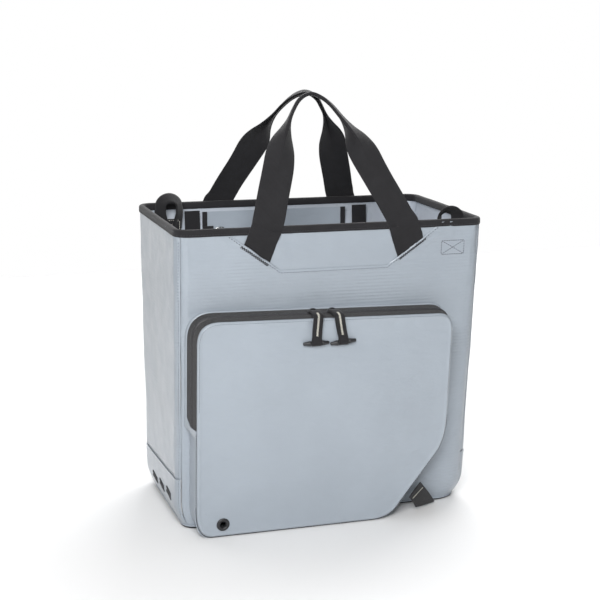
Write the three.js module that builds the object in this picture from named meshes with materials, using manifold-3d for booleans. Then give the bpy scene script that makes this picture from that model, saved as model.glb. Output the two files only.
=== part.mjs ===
// An insulated cooler bag: an open tote with foam-lined walls, a zipped front pocket, webbing handles
// and a zip closure whose two flaps hang inside the mouth.
// Millimetres. +Z is up, -Y is the front and +X is the right of someone who faces the front.
import * as THREE from 'three';
import { mergeVertices } from 'three/addons/utils/BufferGeometryUtils.js';
import Module from 'manifold-3d';

const wasm = await Module();
wasm.setup();

// ---------------------------------------------------------------- driving dimensions
const GAP = 0.3; // kept between pieces that touch
const OVERLAP = 0.2; // sunk into a neighbour that a shape is joined to
const CORNER_STEPS = 5;

// the body: a tapered box with rounded corners, whose lower edge turns in towards the floor
const HEIGHT = 389;
const BASE_HALF_WIDTH = 201.5;
const RIM_HALF_WIDTH = 203.5;
const BASE_HALF_DEPTH = 102.3;
const RIM_HALF_DEPTH = 115.5;
const BASE_CORNER_RADIUS = 33.5;
const RIM_CORNER_RADIUS = 17;
const BASE_EDGE_INSET = 10.5;
const BASE_EDGE_HEIGHT = 35;
const EDGE_LEVELS = [0, 6, 13, 22, BASE_EDGE_HEIGHT]; // heights that the turned-in edge is drawn through
const BASE_WRAP_HEIGHT = 62; // where the base fabric's side wraps meet the side panels

// the wall, layer by layer from the outer face inwards
const SHELL_THICKNESS = 1.6;
const FOAM_THICKNESS = 8;
const LINER_THICKNESS = 1;
const BOARD_THICKNESS = 2.5;
const BINDING_THICKNESS = 1.2;
const BINDING_HEIGHT = 10;
const BINDING_TOP = 1.8;

const FOAM_FACE = SHELL_THICKNESS + GAP;
const LINER_FACE = FOAM_FACE + FOAM_THICKNESS + GAP;
const WALL_INNER = LINER_FACE + LINER_THICKNESS;
const BINDING_OUTER = -(BINDING_THICKNESS + GAP);
const BINDING_INNER = WALL_INNER + GAP + BINDING_THICKNESS;
const WALL_TOP = HEIGHT - BINDING_TOP - GAP;

// the yoke: a trapezium let into the top of the front and the back
const YOKE_BOTTOM_Z = 333;
const YOKE_BOTTOM_HALF = 71;
const YOKE_SLOPE = 1.4; // sideways run for each millimetre of rise
const YOKE_CUT_REACH = 6; // how far the cutting shape reaches past the shell on both sides

// the handles, in 40 mm webbing folded in half over the grip
const WEBBING_WIDTH = 40;
const WEBBING_THICKNESS = 2;
const GRIP_WIDTH = 20;
const GRIP_THICKNESS = 4;
const LEG_RIM_X = 90;
const LEG_LEAN = 0.36; // sideways run of a leg for each millimetre of rise
const HANDLE_LEAN = 0.683; // inward run of a handle for each millimetre of rise
const ANCHOR_OFFSET = 1.8; // from the shell, so the webbing passes over the rim binding
const ANCHOR_BOTTOM_Z = 359;

// the front pocket
const POCKET_DEPTH = 39.8;
const POCKET_PANEL = 3;
const POCKET_LEFT = -187;
const POCKET_RIGHT = 150;
const POCKET_BOTTOM = 3;
const POCKET_TOP_LEFT = 280;
const POCKET_TOP_SLOPE = -0.022; // the top edge falls towards the right
const POCKET_SPLIT_Z = 138; // the zip ends here on both sides, and the flap folds here
// Each corner's rounding runs between its x on the level edge and its z on the upright edge.
const POCKET_CORNER = {
  topLeft: { x: -160, z: 252 },
  topRight: { x: 130, z: 250 },
  bottomLeft: { x: -165, z: 36 },
};
// The lower right corner is cut off at a slant between these two roundings.
const SLANT_TOP = { bendZ: 108, x: 138, z: 90 };
const SLANT_FOOT = { x: 86, z: 21, bendX: 74, endX: 48 };
const POCKET_WAIST = 2; // the part below the split is narrower by this on the right
const FABRIC_BAND = 1.5;
const PIPING_WIDTH = 5;
const STRINGER_THICKNESS = 1.2;
const STRINGER_MEET = 20.5; // from the body, where the two halves of the zip meet
const COIL_HEIGHT = 1.4;
const COIL_WIDTH = 2.6;

// zip sliders, pulls and toggles
const SLIDER_LENGTH = 11;
const SLIDER_WIDTH = 9;
const SLIDER_HEIGHT = 3.2;
const PULL_WIDTH = 12.5;
const PULL_THICKNESS = 2.4;
const PULL_DROP = 31;
const TOGGLE_LENGTH = 34;
const TOGGLE_RADIUS = 3;
const TOGGLE_TIP_RADIUS = 0.65 * TOGGLE_RADIUS;
const TOGGLE_OFFSET = POCKET_DEPTH + TOGGLE_RADIUS + 0.6; // the toggles hang clear of the pocket
const PULL_BEND = 4;
const PULLS = [
  { side: 'left', sliderX: -34.5, toggleX: -36.5, tilt: 0 },
  { side: 'right', sliderX: -9, toggleX: -1, tilt: 0.09 },
];

// the inside closure
const CLOSURE_LEFT = -115;
const CLOSURE_RIGHT = 89;
const CLOSURE_HINGE_Z = 376;
const CLOSURE_PANEL_DROP = 30;
const CLOSURE_TAPE_DROP = 13;
const CLOSURE_THICKNESS = 1.6;
const CLOSURE_INSET = BINDING_INNER + 1;
const CLOSURE_SLIDER = { x: CLOSURE_LEFT + 22, width: 12, depth: 3, tapeAbove: 1, tapeBelow: 2 };
const CLOSURE_PULL = { width: 7, length: 27, thickness: 1.6 };
const CLOSURE_TAB = { width: 15, thickness: 1.8, overhang: 2, belowSlider: 8 };
const END_STRAP_WIDTH = 22;
const END_STRAP_DROP = 90;
const END_STRAP_THICKNESS = 1.5;
const END_STRAP_RISE = 2; // how far the straps' tops stand over the flap's hinge
const END_STRAP_LEFT = { left: CLOSURE_LEFT - 5 - END_STRAP_WIDTH, right: CLOSURE_RIGHT + 12 };

// the shoulder-strap loops
const LOOP_WIDTH = 30;
const LOOP_X = 164;
const LOOP_TOP = 399;
const LOOP_BOTTOM = 352;
const LOOP_DEPTH = 10;
const LOOP_SEWN_HEIGHT = 18; // the part below the opening, sewn flat

// the corner tab's two ends, each from its left edge to its right edge
const CORNER_TAB = {
  upper: [[98.5, -142, 27], [114, -142, 47]],
  lower: [[121, -125, 2.5], [148, -104, 6]],
};

// the drain eyelet
const EYELET_X = -153;
const EYELET_Z = 17;
const EYELET_BORE = 4;
const EYELET_BARREL = 4.8;
const EYELET_FLANGE = 8.5;
const EYELET_FLANGE_THICKNESS = 1.3;

// ---------------------------------------------------------------- the body's outline at a height
const mix = (a, b, share) => a + (b - a) * share;
const halfWidthStraight = (z) => mix(BASE_HALF_WIDTH, RIM_HALF_WIDTH, z / HEIGHT);
const halfDepthStraight = (z) => mix(BASE_HALF_DEPTH, RIM_HALF_DEPTH, z / HEIGHT);
const cornerRadius = (z) => mix(BASE_CORNER_RADIUS, RIM_CORNER_RADIUS, z / HEIGHT);
const edgeInset = (z) => BASE_EDGE_INSET * Math.max(0, 1 - z / BASE_EDGE_HEIGHT) ** 2;
const halfWidth = (z) => halfWidthStraight(z) - edgeInset(z);
const halfDepth = (z) => halfDepthStraight(z) - edgeInset(z);
const frontSlope = (RIM_HALF_DEPTH - BASE_HALF_DEPTH) / HEIGHT;

// Each wall part runs from the middle of one corner to the middle of the next.
const PART_START = { front: 225, right: 315, back: 45, left: 135 };
const SEAM_ANGLE = 0.5; // degrees left open at each end of a part, for the gap

function cornerCentre(angle, z) {
  const turn = ((angle % 360) + 360) % 360;
  const x = halfWidth(z) - cornerRadius(z);
  const y = halfDepth(z) - cornerRadius(z);
  const signX = turn < 90 || turn >= 270 ? 1 : -1;
  const signY = turn < 180 ? 1 : -1;
  return [signX * x, signY * y];
}

function arc(centre, radius, from, to) {
  return Array.from({ length: CORNER_STEPS + 1 }, (_, i) => {
    const angle = THREE.MathUtils.degToRad(mix(from, to, i / CORNER_STEPS));
    return [centre[0] + radius * Math.cos(angle), centre[1] + radius * Math.sin(angle)];
  });
}

// One wall part's path at a height, anticlockwise, at an inset from the outer face.
function partPath(part, z, inset) {
  const start = PART_START[part];
  const radius = cornerRadius(z) - inset;
  return [
    ...arc(cornerCentre(start + 1, z), radius, start + SEAM_ANGLE, start + 45),
    ...arc(cornerCentre(start + 46, z), radius, start + 45, start + 90 - SEAM_ANGLE),
  ];
}

function ringAt(points, z) {
  return points.map(([x, y]) => new THREE.Vector3(x, y, z));
}

// A whole rounded rectangle at a height, at an inset from the outer face.
function fullRing(z, inset) {
  const parts = ['right', 'back', 'left', 'front'];
  return ringAt(parts.flatMap((part) => partPath(part, z, inset)), z);
}

// ---------------------------------------------------------------- solids
function flipInsideOut(geometry) {
  const index = geometry.getIndex();
  for (let i = 0; i < index.count; i += 3) {
    const second = index.getX(i + 1);
    index.setX(i + 1, index.getX(i + 2));
    index.setX(i + 2, second);
  }
}

function signedVolume(geometry) {
  const place = geometry.getAttribute('position');
  const index = geometry.getIndex();
  const corner = [new THREE.Vector3(), new THREE.Vector3(), new THREE.Vector3()];
  let sum = 0;
  for (let i = 0; i < index.count; i += 3) {
    corner.forEach((point, k) => point.fromBufferAttribute(place, index.getX(i + k)));
    sum += corner[0].dot(corner[1].clone().cross(corner[2]));
  }
  return sum / 6;
}

function capTriangles(ring) {
  const normal = new THREE.Vector3();
  ring.forEach((point, i) => normal.add(point.clone().cross(ring[(i + 1) % ring.length])));
  normal.normalize();
  const along = ring[1].clone().sub(ring[0]).projectOnPlane(normal).normalize();
  const across = normal.clone().cross(along);
  const flat = ring.map((point) => new THREE.Vector2(point.dot(along), point.dot(across)));
  return THREE.ShapeUtils.triangulateShape(flat, []);
}

// A closed solid through rings of equally many points.
function loft(rings) {
  const count = rings[0].length;
  const index = [];
  for (let level = 0; level < rings.length - 1; level += 1) {
    for (let i = 0; i < count; i += 1) {
      const a = level * count + i;
      const b = level * count + ((i + 1) % count);
      index.push(a, b, b + count, a, b + count, a + count);
    }
  }
  const last = (rings.length - 1) * count;
  capTriangles(rings[0]).forEach(([a, b, c]) => index.push(c, b, a));
  capTriangles(rings.at(-1)).forEach(([a, b, c]) => index.push(last + a, last + b, last + c));
  const geometry = new THREE.BufferGeometry().setFromPoints(rings.flat());
  geometry.setIndex(index);
  if (signedVolume(geometry) < 0) flipInsideOut(geometry);
  return geometry;
}

function toManifold(geometry) {
  const plain = geometry.clone();
  plain.deleteAttribute('normal');
  plain.deleteAttribute('uv');
  const merged = mergeVertices(plain, 1e-4);
  const mesh = new wasm.Mesh({
    numProp: 3,
    vertProperties: Float32Array.from(merged.getAttribute('position').array),
    triVerts: Uint32Array.from(merged.getIndex().array),
  });
  return new wasm.Manifold(mesh);
}

function fromManifold(solid) {
  const mesh = solid.getMesh();
  const geometry = new THREE.BufferGeometry();
  geometry.setAttribute('position', new THREE.BufferAttribute(mesh.vertProperties, 3));
  geometry.setIndex(new THREE.BufferAttribute(mesh.triVerts, 1));
  return geometry;
}

const cut = (geometry, tool) => fromManifold(toManifold(geometry).subtract(toManifold(tool)));
const common = (geometry, tool) => fromManifold(toManifold(geometry).intersect(toManifold(tool)));
const join = (...list) => fromManifold(list.map(toManifold).reduce((sum, next) => sum.add(next)));

// One wall part between two insets, through a list of heights.
function wallSolid(part, outer, inner, heights) {
  return loft(heights.map((z) => {
    const path = [...partPath(part, z, outer), ...partPath(part, z, inner).reverse()];
    return ringAt(path, z);
  }));
}

// A floor layer between two heights, inside the walls.
function floorSolid(inset, bottom, top) {
  return loft([fullRing(bottom, inset), fullRing(top, inset)]);
}

// A shape in X and Z, thickened between two distances in front of the body's front plane.
function frontSolid(shape, near, far) {
  const geometry = new THREE.ExtrudeGeometry(shape, { depth: far - near, bevelEnabled: false });
  geometry.applyMatrix4(new THREE.Matrix4().set(
    1, 0, 0, 0,
    0, -frontSlope, -1, -(BASE_HALF_DEPTH + near),
    0, 1, 0, 0,
    0, 0, 0, 1,
  ));
  return geometry;
}

// A flat strap through a list of stations: centre, width direction, width, thickness direction, thickness.
function strapSolid(stations) {
  return loft(stations.map(({ centre, across, width, through, thickness }) => {
    const w = across.clone().multiplyScalar(width / 2);
    const t = through.clone().multiplyScalar(thickness / 2);
    return [
      centre.clone().sub(w).sub(t),
      centre.clone().add(w).sub(t),
      centre.clone().add(w).add(t),
      centre.clone().sub(w).add(t),
    ];
  }));
}

const vector = (x, y, z) => new THREE.Vector3(x, y, z);

// ---------------------------------------------------------------- materials
const material = (color, roughness, metalness = 0) => (
  new THREE.MeshStandardMaterial({ color, roughness, metalness })
);
const shellFabric = () => material(0xa3adb6, 0.42);
const pocketFabric = () => material(0xa9b3bc, 0.4);
const foam = () => material(0xe8e8e4, 0.95);
const board = () => material(0xd9d9d6, 0.6);
const liningFabric = () => material(0x8d959c, 0.35);
const webbing = () => material(0x2d2d30, 0.85);
const zipTape = () => material(0x303033, 0.8);
const blackPlastic = () => material(0x1c1c1e, 0.45);
const nickel = () => material(0xb9bbbd, 0.25, 0.9);

const bag = new THREE.Group();

function add(name, geometry, finish) {
  const mesh = new THREE.Mesh(geometry, finish);
  mesh.name = name;
  bag.add(mesh);
}

// ---------------------------------------------------------------- outer shell
function yokeShape(shrink) {
  const bottom = YOKE_BOTTOM_Z + shrink;
  const half = YOKE_BOTTOM_HALF - shrink;
  const top = HEIGHT + 1;
  const topHalf = half + YOKE_SLOPE * (top - bottom);
  return new THREE.Shape([
    new THREE.Vector2(-half, bottom),
    new THREE.Vector2(half, bottom),
    new THREE.Vector2(topHalf, top),
    new THREE.Vector2(-topHalf, top),
  ]);
}

function addShell() {
  const sheet = (part, low, high) => {
    const edge = EDGE_LEVELS.filter((z) => z > low && z < high);
    return wallSolid(part, 0, SHELL_THICKNESS, [low, ...edge, high]);
  };
  const turned = (geometry) => geometry.rotateZ(Math.PI);
  const notch = frontSolid(yokeShape(0), -YOKE_CUT_REACH, YOKE_CUT_REACH);
  const inNotch = frontSolid(yokeShape(GAP), -YOKE_CUT_REACH, YOKE_CUT_REACH);
  const wholeFront = sheet('front', 0, WALL_TOP);
  add('shell_front', cut(wholeFront, notch), shellFabric());
  add('shell_front_yoke', common(wholeFront, inNotch), shellFabric());
  add('shell_back', turned(cut(wholeFront, notch)), shellFabric());
  add('shell_back_yoke', turned(common(wholeFront, inNotch)), shellFabric());
  for (const side of ['left', 'right']) {
    add(`shell_${side}`, sheet(side, BASE_WRAP_HEIGHT, WALL_TOP), shellFabric());
    add(`shell_${side}_wrap`, sheet(side, 0, BASE_WRAP_HEIGHT - GAP), shellFabric());
  }
  add('shell_base', floorSolid(FOAM_FACE, 0, SHELL_THICKNESS), shellFabric());
}

// ---------------------------------------------------------------- foam, board and liner
function addInsulation() {
  const foamTop = FOAM_FACE + FOAM_THICKNESS;
  const boardBottom = foamTop + GAP;
  const boardTop = boardBottom + BOARD_THICKNESS;
  const linerTop = boardTop + GAP + LINER_THICKNESS;
  add('foam_base', floorSolid(FOAM_FACE, FOAM_FACE, foamTop), foam());
  add('stiffener_board', floorSolid(LINER_FACE + GAP, boardBottom, boardTop), board());
  add('liner_base', floorSolid(LINER_FACE + GAP, boardTop + GAP, linerTop), liningFabric());
  for (const part of Object.keys(PART_START)) {
    const linerLevels = [linerTop + GAP, ...EDGE_LEVELS.slice(-2), WALL_TOP];
    const foamLevels = [boardBottom, ...linerLevels];
    add(`foam_${part}`, wallSolid(part, FOAM_FACE, LINER_FACE - GAP, foamLevels), foam());
    add(`liner_${part}`, wallSolid(part, LINER_FACE, WALL_INNER, linerLevels), liningFabric());
  }
}

// ---------------------------------------------------------------- rim binding
function addBinding() {
  const underside = HEIGHT - BINDING_TOP;
  const lower = HEIGHT - BINDING_HEIGHT;
  for (const part of Object.keys(PART_START)) {
    const outerLeg = wallSolid(part, BINDING_OUTER, -GAP, [lower, underside + OVERLAP]);
    const innerLeg = wallSolid(part, WALL_INNER + GAP, BINDING_INNER, [lower, underside + OVERLAP]);
    const top = wallSolid(part, BINDING_OUTER, BINDING_INNER, [underside, HEIGHT]);
    add(`rim_binding_${part}`, join(outerLeg, innerLeg, top), webbing());
  }
}

// ---------------------------------------------------------------- handles
// Stations of one leg, from just under the rim (where it is cut level) to the top of the arch.
// rise is the height over the rim, x the distance from the middle, and fold how far it is folded in half.
const HANDLE_STATIONS = [
  { rise: -14, x: 95.5, width: WEBBING_WIDTH, thickness: WEBBING_THICKNESS, fold: 0 },
  { rise: 32, x: 76.5, width: WEBBING_WIDTH, thickness: WEBBING_THICKNESS, fold: 0 },
  { rise: 65, x: 62.5, width: WEBBING_WIDTH, thickness: WEBBING_THICKNESS, fold: 0 },
  { rise: 86, x: 54.5, width: 36, thickness: WEBBING_THICKNESS, fold: 0 },
  { rise: 101, x: 48, width: 27, thickness: 3, fold: 0.25 },
  { rise: 114, x: 41, width: GRIP_WIDTH, thickness: GRIP_THICKNESS, fold: 0.8 },
  { rise: 126, x: 34, width: GRIP_WIDTH, thickness: GRIP_THICKNESS, fold: 1 },
  { rise: 140, x: 24, width: GRIP_WIDTH, thickness: GRIP_THICKNESS, fold: 1 },
  { rise: 150, x: 13, width: GRIP_WIDTH, thickness: GRIP_THICKNESS, fold: 0.85 },
];
const HANDLE_TOP = { rise: 154.5, x: 0, width: GRIP_WIDTH, thickness: GRIP_THICKNESS, fold: 0.5 };
const HANDLE_FOOT_Y = -(RIM_HALF_DEPTH + ANCHOR_OFFSET + WEBBING_THICKNESS / 2);

// The strap lies in the handle's leaning plane on its legs. Over the left half of the arch the folded
// grip turns edge-on, and over the right half it stays flat.
function handleStrap() {
  const inPlane = vector(0, HANDLE_LEAN, 1).normalize();
  const outOfPlane = vector(0, -1, HANDLE_LEAN).normalize();
  const left = HANDLE_STATIONS.map((s) => ({ ...s, x: -s.x, turn: s.fold }));
  const right = HANDLE_STATIONS.map((s) => ({ ...s, turn: Math.max(0, s.fold - 0.85) })).reverse();
  const all = [...left, { ...HANDLE_TOP, turn: HANDLE_TOP.fold }, ...right];
  const places = all.map(({ rise, x }) => (
    vector(x, HANDLE_FOOT_Y, HEIGHT).addScaledVector(inPlane, rise / inPlane.z)
  ));
  const line = new THREE.CatmullRomCurve3(places);
  const strap = strapSolid(all.map((station, i) => {
    const tangent = line.getTangent(i / (all.length - 1));
    tangent.projectOnPlane(outOfPlane).normalize();
    const flat = outOfPlane.clone().cross(tangent).normalize();
    const angle = station.turn * Math.PI / 2;
    return {
      centre: places[i],
      across: flat.clone().multiplyScalar(Math.cos(angle)).addScaledVector(outOfPlane, Math.sin(angle)),
      width: station.width,
      through: outOfPlane.clone().multiplyScalar(Math.cos(angle)).addScaledVector(flat, -Math.sin(angle)),
      thickness: station.thickness,
    };
  }));
  const belowRim = new THREE.BoxGeometry(3 * RIM_HALF_WIDTH, 3 * RIM_HALF_DEPTH, 100);
  return cut(strap, belowRim.translate(0, 0, HEIGHT + GAP - 50));
}

// The sewn foot of a leg, whose lower edge follows the yoke's slanted seam.
function handleAnchor(side) {
  const half = WEBBING_WIDTH / 2 / Math.cos(Math.atan(LEG_LEAN));
  const at = (z, edge) => {
    const centre = LEG_RIM_X + LEG_LEAN * (HEIGHT - z);
    return new THREE.Vector2(side * (centre + edge * half), z);
  };
  const rise = half / YOKE_SLOPE;
  const top = HEIGHT - GAP;
  const corners = [
    at(ANCHOR_BOTTOM_Z - rise, -1),
    at(ANCHOR_BOTTOM_Z + rise, 1),
    at(top, 1),
    at(top, -1),
  ];
  return frontSolid(new THREE.Shape(corners), ANCHOR_OFFSET, ANCHOR_OFFSET + WEBBING_THICKNESS);
}

function addHandles() {
  for (const [end, turn] of [['front', 0], ['rear', Math.PI]]) {
    add(`${end}_handle_strap`, handleStrap().rotateZ(turn), webbing());
    add(`${end}_handle_left_anchor`, handleAnchor(turn ? 1 : -1).rotateZ(turn), webbing());
    add(`${end}_handle_right_anchor`, handleAnchor(turn ? -1 : 1).rotateZ(turn), webbing());
  }
}

// ---------------------------------------------------------------- front pocket
const pocketTop = (x) => POCKET_TOP_LEFT + POCKET_TOP_SLOPE * (x - POCKET_CORNER.topLeft.x);

// The pocket's outline above the split, from the left end of the zip round to the right end.
function upperPath(inset) {
  const left = POCKET_LEFT + inset;
  const right = POCKET_RIGHT - inset;
  const top = (x) => pocketTop(x) - inset;
  const { topLeft, topRight } = POCKET_CORNER;
  const path = new THREE.Path();
  path.moveTo(left, POCKET_SPLIT_Z + GAP);
  path.lineTo(left, topLeft.z);
  path.quadraticCurveTo(left, top(topLeft.x), topLeft.x, top(topLeft.x));
  path.lineTo(topRight.x, top(topRight.x));
  path.quadraticCurveTo(right, top(right), right, topRight.z);
  path.lineTo(right - POCKET_WAIST, POCKET_SPLIT_Z + GAP);
  return path.getPoints(CORNER_STEPS);
}

// The rest of it, from the right end of the zip down the chamfered corner and back up the left side.
function lowerPath(inset) {
  const left = POCKET_LEFT + inset;
  const right = POCKET_RIGHT - POCKET_WAIST - inset;
  const bottom = POCKET_BOTTOM + inset;
  const { bottomLeft } = POCKET_CORNER;
  const path = new THREE.Path();
  path.moveTo(right, POCKET_SPLIT_Z - GAP);
  path.quadraticCurveTo(right, SLANT_TOP.bendZ, SLANT_TOP.x - inset, SLANT_TOP.z + inset / 2);
  path.lineTo(SLANT_FOOT.x - inset, SLANT_FOOT.z + inset / 2);
  path.quadraticCurveTo(SLANT_FOOT.bendX - inset, bottom, SLANT_FOOT.endX, bottom);
  path.lineTo(bottomLeft.x, bottom);
  path.quadraticCurveTo(left, bottom, left, bottomLeft.z);
  path.lineTo(left, POCKET_SPLIT_Z - GAP);
  return path.getPoints(CORNER_STEPS);
}

const bandShape = (outer, inner) => new THREE.Shape([...outer, ...inner.slice().reverse()]);

function addPocket() {
  const front = POCKET_DEPTH - POCKET_PANEL;
  const eyelet = (radius, low, high) => {
    const hole = new THREE.Shape().absarc(EYELET_X, EYELET_Z, radius, 0, 2 * Math.PI);
    return frontSolid(hole, low, high);
  };
  const lowerPanel = frontSolid(new THREE.Shape(lowerPath(0)), front, POCKET_DEPTH);
  const bore = eyelet(EYELET_BARREL + GAP, front - 1, POCKET_DEPTH + 1);
  add('pocket_lower_panel', cut(lowerPanel, bore), pocketFabric());
  add('pocket_flap_panel', frontSolid(new THREE.Shape(upperPath(0)), front, POCKET_DEPTH), pocketFabric());

  const lower = bandShape(lowerPath(0), lowerPath(FABRIC_BAND));
  const upper = bandShape(upperPath(0), upperPath(FABRIC_BAND));
  const lowerBand = frontSolid(lower, GAP, front - GAP);
  const piping = frontSolid(upper, GAP, PIPING_WIDTH);
  const bridge = (x) => {
    const shape = new THREE.Shape([
      new THREE.Vector2(x, POCKET_SPLIT_Z - 1),
      new THREE.Vector2(x + FABRIC_BAND, POCKET_SPLIT_Z - 1),
      new THREE.Vector2(x + FABRIC_BAND, POCKET_SPLIT_Z + 1),
      new THREE.Vector2(x, POCKET_SPLIT_Z + 1),
    ]);
    return frontSolid(shape, GAP, PIPING_WIDTH);
  };
  const rightEnd = POCKET_RIGHT - POCKET_WAIST - FABRIC_BAND;
  const gusset = join(lowerBand, piping, bridge(POCKET_LEFT), bridge(rightEnd));
  add('pocket_gusset', gusset, pocketFabric());

  const tape = bandShape(upperPath(0), upperPath(STRINGER_THICKNESS));
  const coil = bandShape(upperPath(-COIL_HEIGHT), upperPath(STRINGER_THICKNESS));
  const inner = join(
    frontSolid(tape, PIPING_WIDTH + GAP, STRINGER_MEET),
    frontSolid(coil, STRINGER_MEET - COIL_WIDTH, STRINGER_MEET),
  );
  const outer = join(
    frontSolid(tape, STRINGER_MEET + GAP, front - GAP),
    frontSolid(coil, STRINGER_MEET + GAP, STRINGER_MEET + GAP + COIL_WIDTH),
  );
  add('pocket_inner_stringer', inner, zipTape());
  add('pocket_outer_stringer', outer, zipTape());

  const flangeBack = POCKET_DEPTH + GAP;
  const flangeFront = flangeBack + EYELET_FLANGE_THICKNESS;
  const washerFront = front - GAP;
  const washerBack = washerFront - EYELET_FLANGE_THICKNESS;
  const flange = frontSolid(ringShape(EYELET_FLANGE, EYELET_BORE), flangeBack, flangeFront);
  const barrel = frontSolid(ringShape(EYELET_BARREL, EYELET_BORE), washerBack, flangeBack + OVERLAP);
  const washer = frontSolid(ringShape(EYELET_FLANGE, EYELET_BARREL + GAP), washerBack, washerFront);
  add('drain_grommet', join(flange, barrel), blackPlastic());
  add('drain_grommet_washer', washer, blackPlastic());
}

function ringShape(outer, inner) {
  const shape = new THREE.Shape().absarc(EYELET_X, EYELET_Z, outer, 0, 2 * Math.PI);
  shape.holes.push(new THREE.Path().absarc(EYELET_X, EYELET_Z, inner, 0, 2 * Math.PI, true));
  return shape;
}

// ---------------------------------------------------------------- sliders, pulls and toggles
const frontY = (z, offset) => -(BASE_HALF_DEPTH + frontSlope * z + offset);

function addPulls() {
  for (const { side, sliderX, toggleX, tilt } of PULLS) {
    const top = pocketTop(sliderX) + COIL_HEIGHT + GAP;
    const half = SLIDER_LENGTH / 2;
    const nose = SLIDER_WIDTH / 2;
    const centreY = frontY(top, STRINGER_MEET + GAP / 2);
    const plan = new THREE.Shape([
      new THREE.Vector2(-half, -nose * 0.75),
      new THREE.Vector2(-half * 0.3, -nose),
      new THREE.Vector2(half, -nose),
      new THREE.Vector2(half, nose),
      new THREE.Vector2(-half * 0.3, nose),
      new THREE.Vector2(-half, nose * 0.75),
    ]);
    const slider = new THREE.ExtrudeGeometry(plan, { depth: SLIDER_HEIGHT, bevelEnabled: false });
    slider.rotateY(-Math.atan(POCKET_TOP_SLOPE)).translate(sliderX, centreY, top + GAP / 2);
    add(`pocket_${side}_slider`, slider, blackPlastic());

    const startY = centreY - nose - GAP;
    const hangY = frontY(top, TOGGLE_OFFSET);
    const height = top + SLIDER_HEIGHT / 2 + 0.6;
    const lowest = top - PULL_DROP;
    const route = [
      [startY, height, 0],
      [hangY + PULL_BEND, height, 0.3],
      [hangY + PULL_BEND * 0.3, height - PULL_BEND * 0.3, 0.38],
      [hangY, height - PULL_BEND, 0.45],
      [frontY(lowest, TOGGLE_OFFSET), lowest, 1],
    ];
    const slants = [0, 0.2, Math.PI / 4, Math.PI / 2 - 0.2, Math.PI / 2];
    const strap = strapSolid(route.map(([y, z, share], i) => ({
      centre: vector(mix(sliderX, toggleX, share), y, z),
      across: vector(1, 0, 0),
      width: PULL_WIDTH,
      through: vector(0, -Math.sin(slants[i]), Math.cos(slants[i])),
      thickness: PULL_THICKNESS,
    })));
    add(`${side}_pull_webbing`, strap, webbing());

    const tip = TOGGLE_LENGTH / 2;
    const profile = [
      new THREE.Vector2(0, -tip),
      new THREE.Vector2(TOGGLE_TIP_RADIUS, -tip),
      new THREE.Vector2(TOGGLE_RADIUS, -tip * 0.35),
      new THREE.Vector2(TOGGLE_RADIUS, tip * 0.35),
      new THREE.Vector2(TOGGLE_TIP_RADIUS, tip),
      new THREE.Vector2(0, tip),
    ];
    const toggleZ = lowest - TOGGLE_RADIUS - 3 * GAP;
    const toggle = new THREE.LatheGeometry(profile, 14).rotateZ(-Math.PI / 2).rotateY(-tilt);
    toggle.translate(toggleX, frontY(toggleZ, TOGGLE_OFFSET), toggleZ);
    add(`${side}_pull_toggle`, toggle, blackPlastic());
  }
}

// ---------------------------------------------------------------- corner tab
// A length of webbing from the pocket's chamfered corner to the foot of the body.
function addCornerTab() {
  const upper = CORNER_TAB.upper.map((place) => vector(...place));
  const lower = CORNER_TAB.lower.map((place) => vector(...place));
  const section = ([from, to]) => {
    const push = vector(0.5, -0.2, -0.4).normalize().multiplyScalar(WEBBING_THICKNESS);
    return [from, to, to.clone().add(push), from.clone().add(push)];
  };
  add('corner_tab', loft([section(upper), section(lower)]), webbing());
}

// ---------------------------------------------------------------- inside the mouth
const backWall = (z, inset) => halfDepthStraight(z) - inset;

// A sheet that hangs on the back wall between two heights, or on the front wall when turned.
function hangingSheet(x0, x1, high, low, inset, thickness) {
  return loft([low, high].map((z) => {
    const far = backWall(z, inset);
    const near = far - thickness;
    return ringAt([[x0, near], [x1, near], [x1, far], [x0, far]], z);
  }));
}

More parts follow.
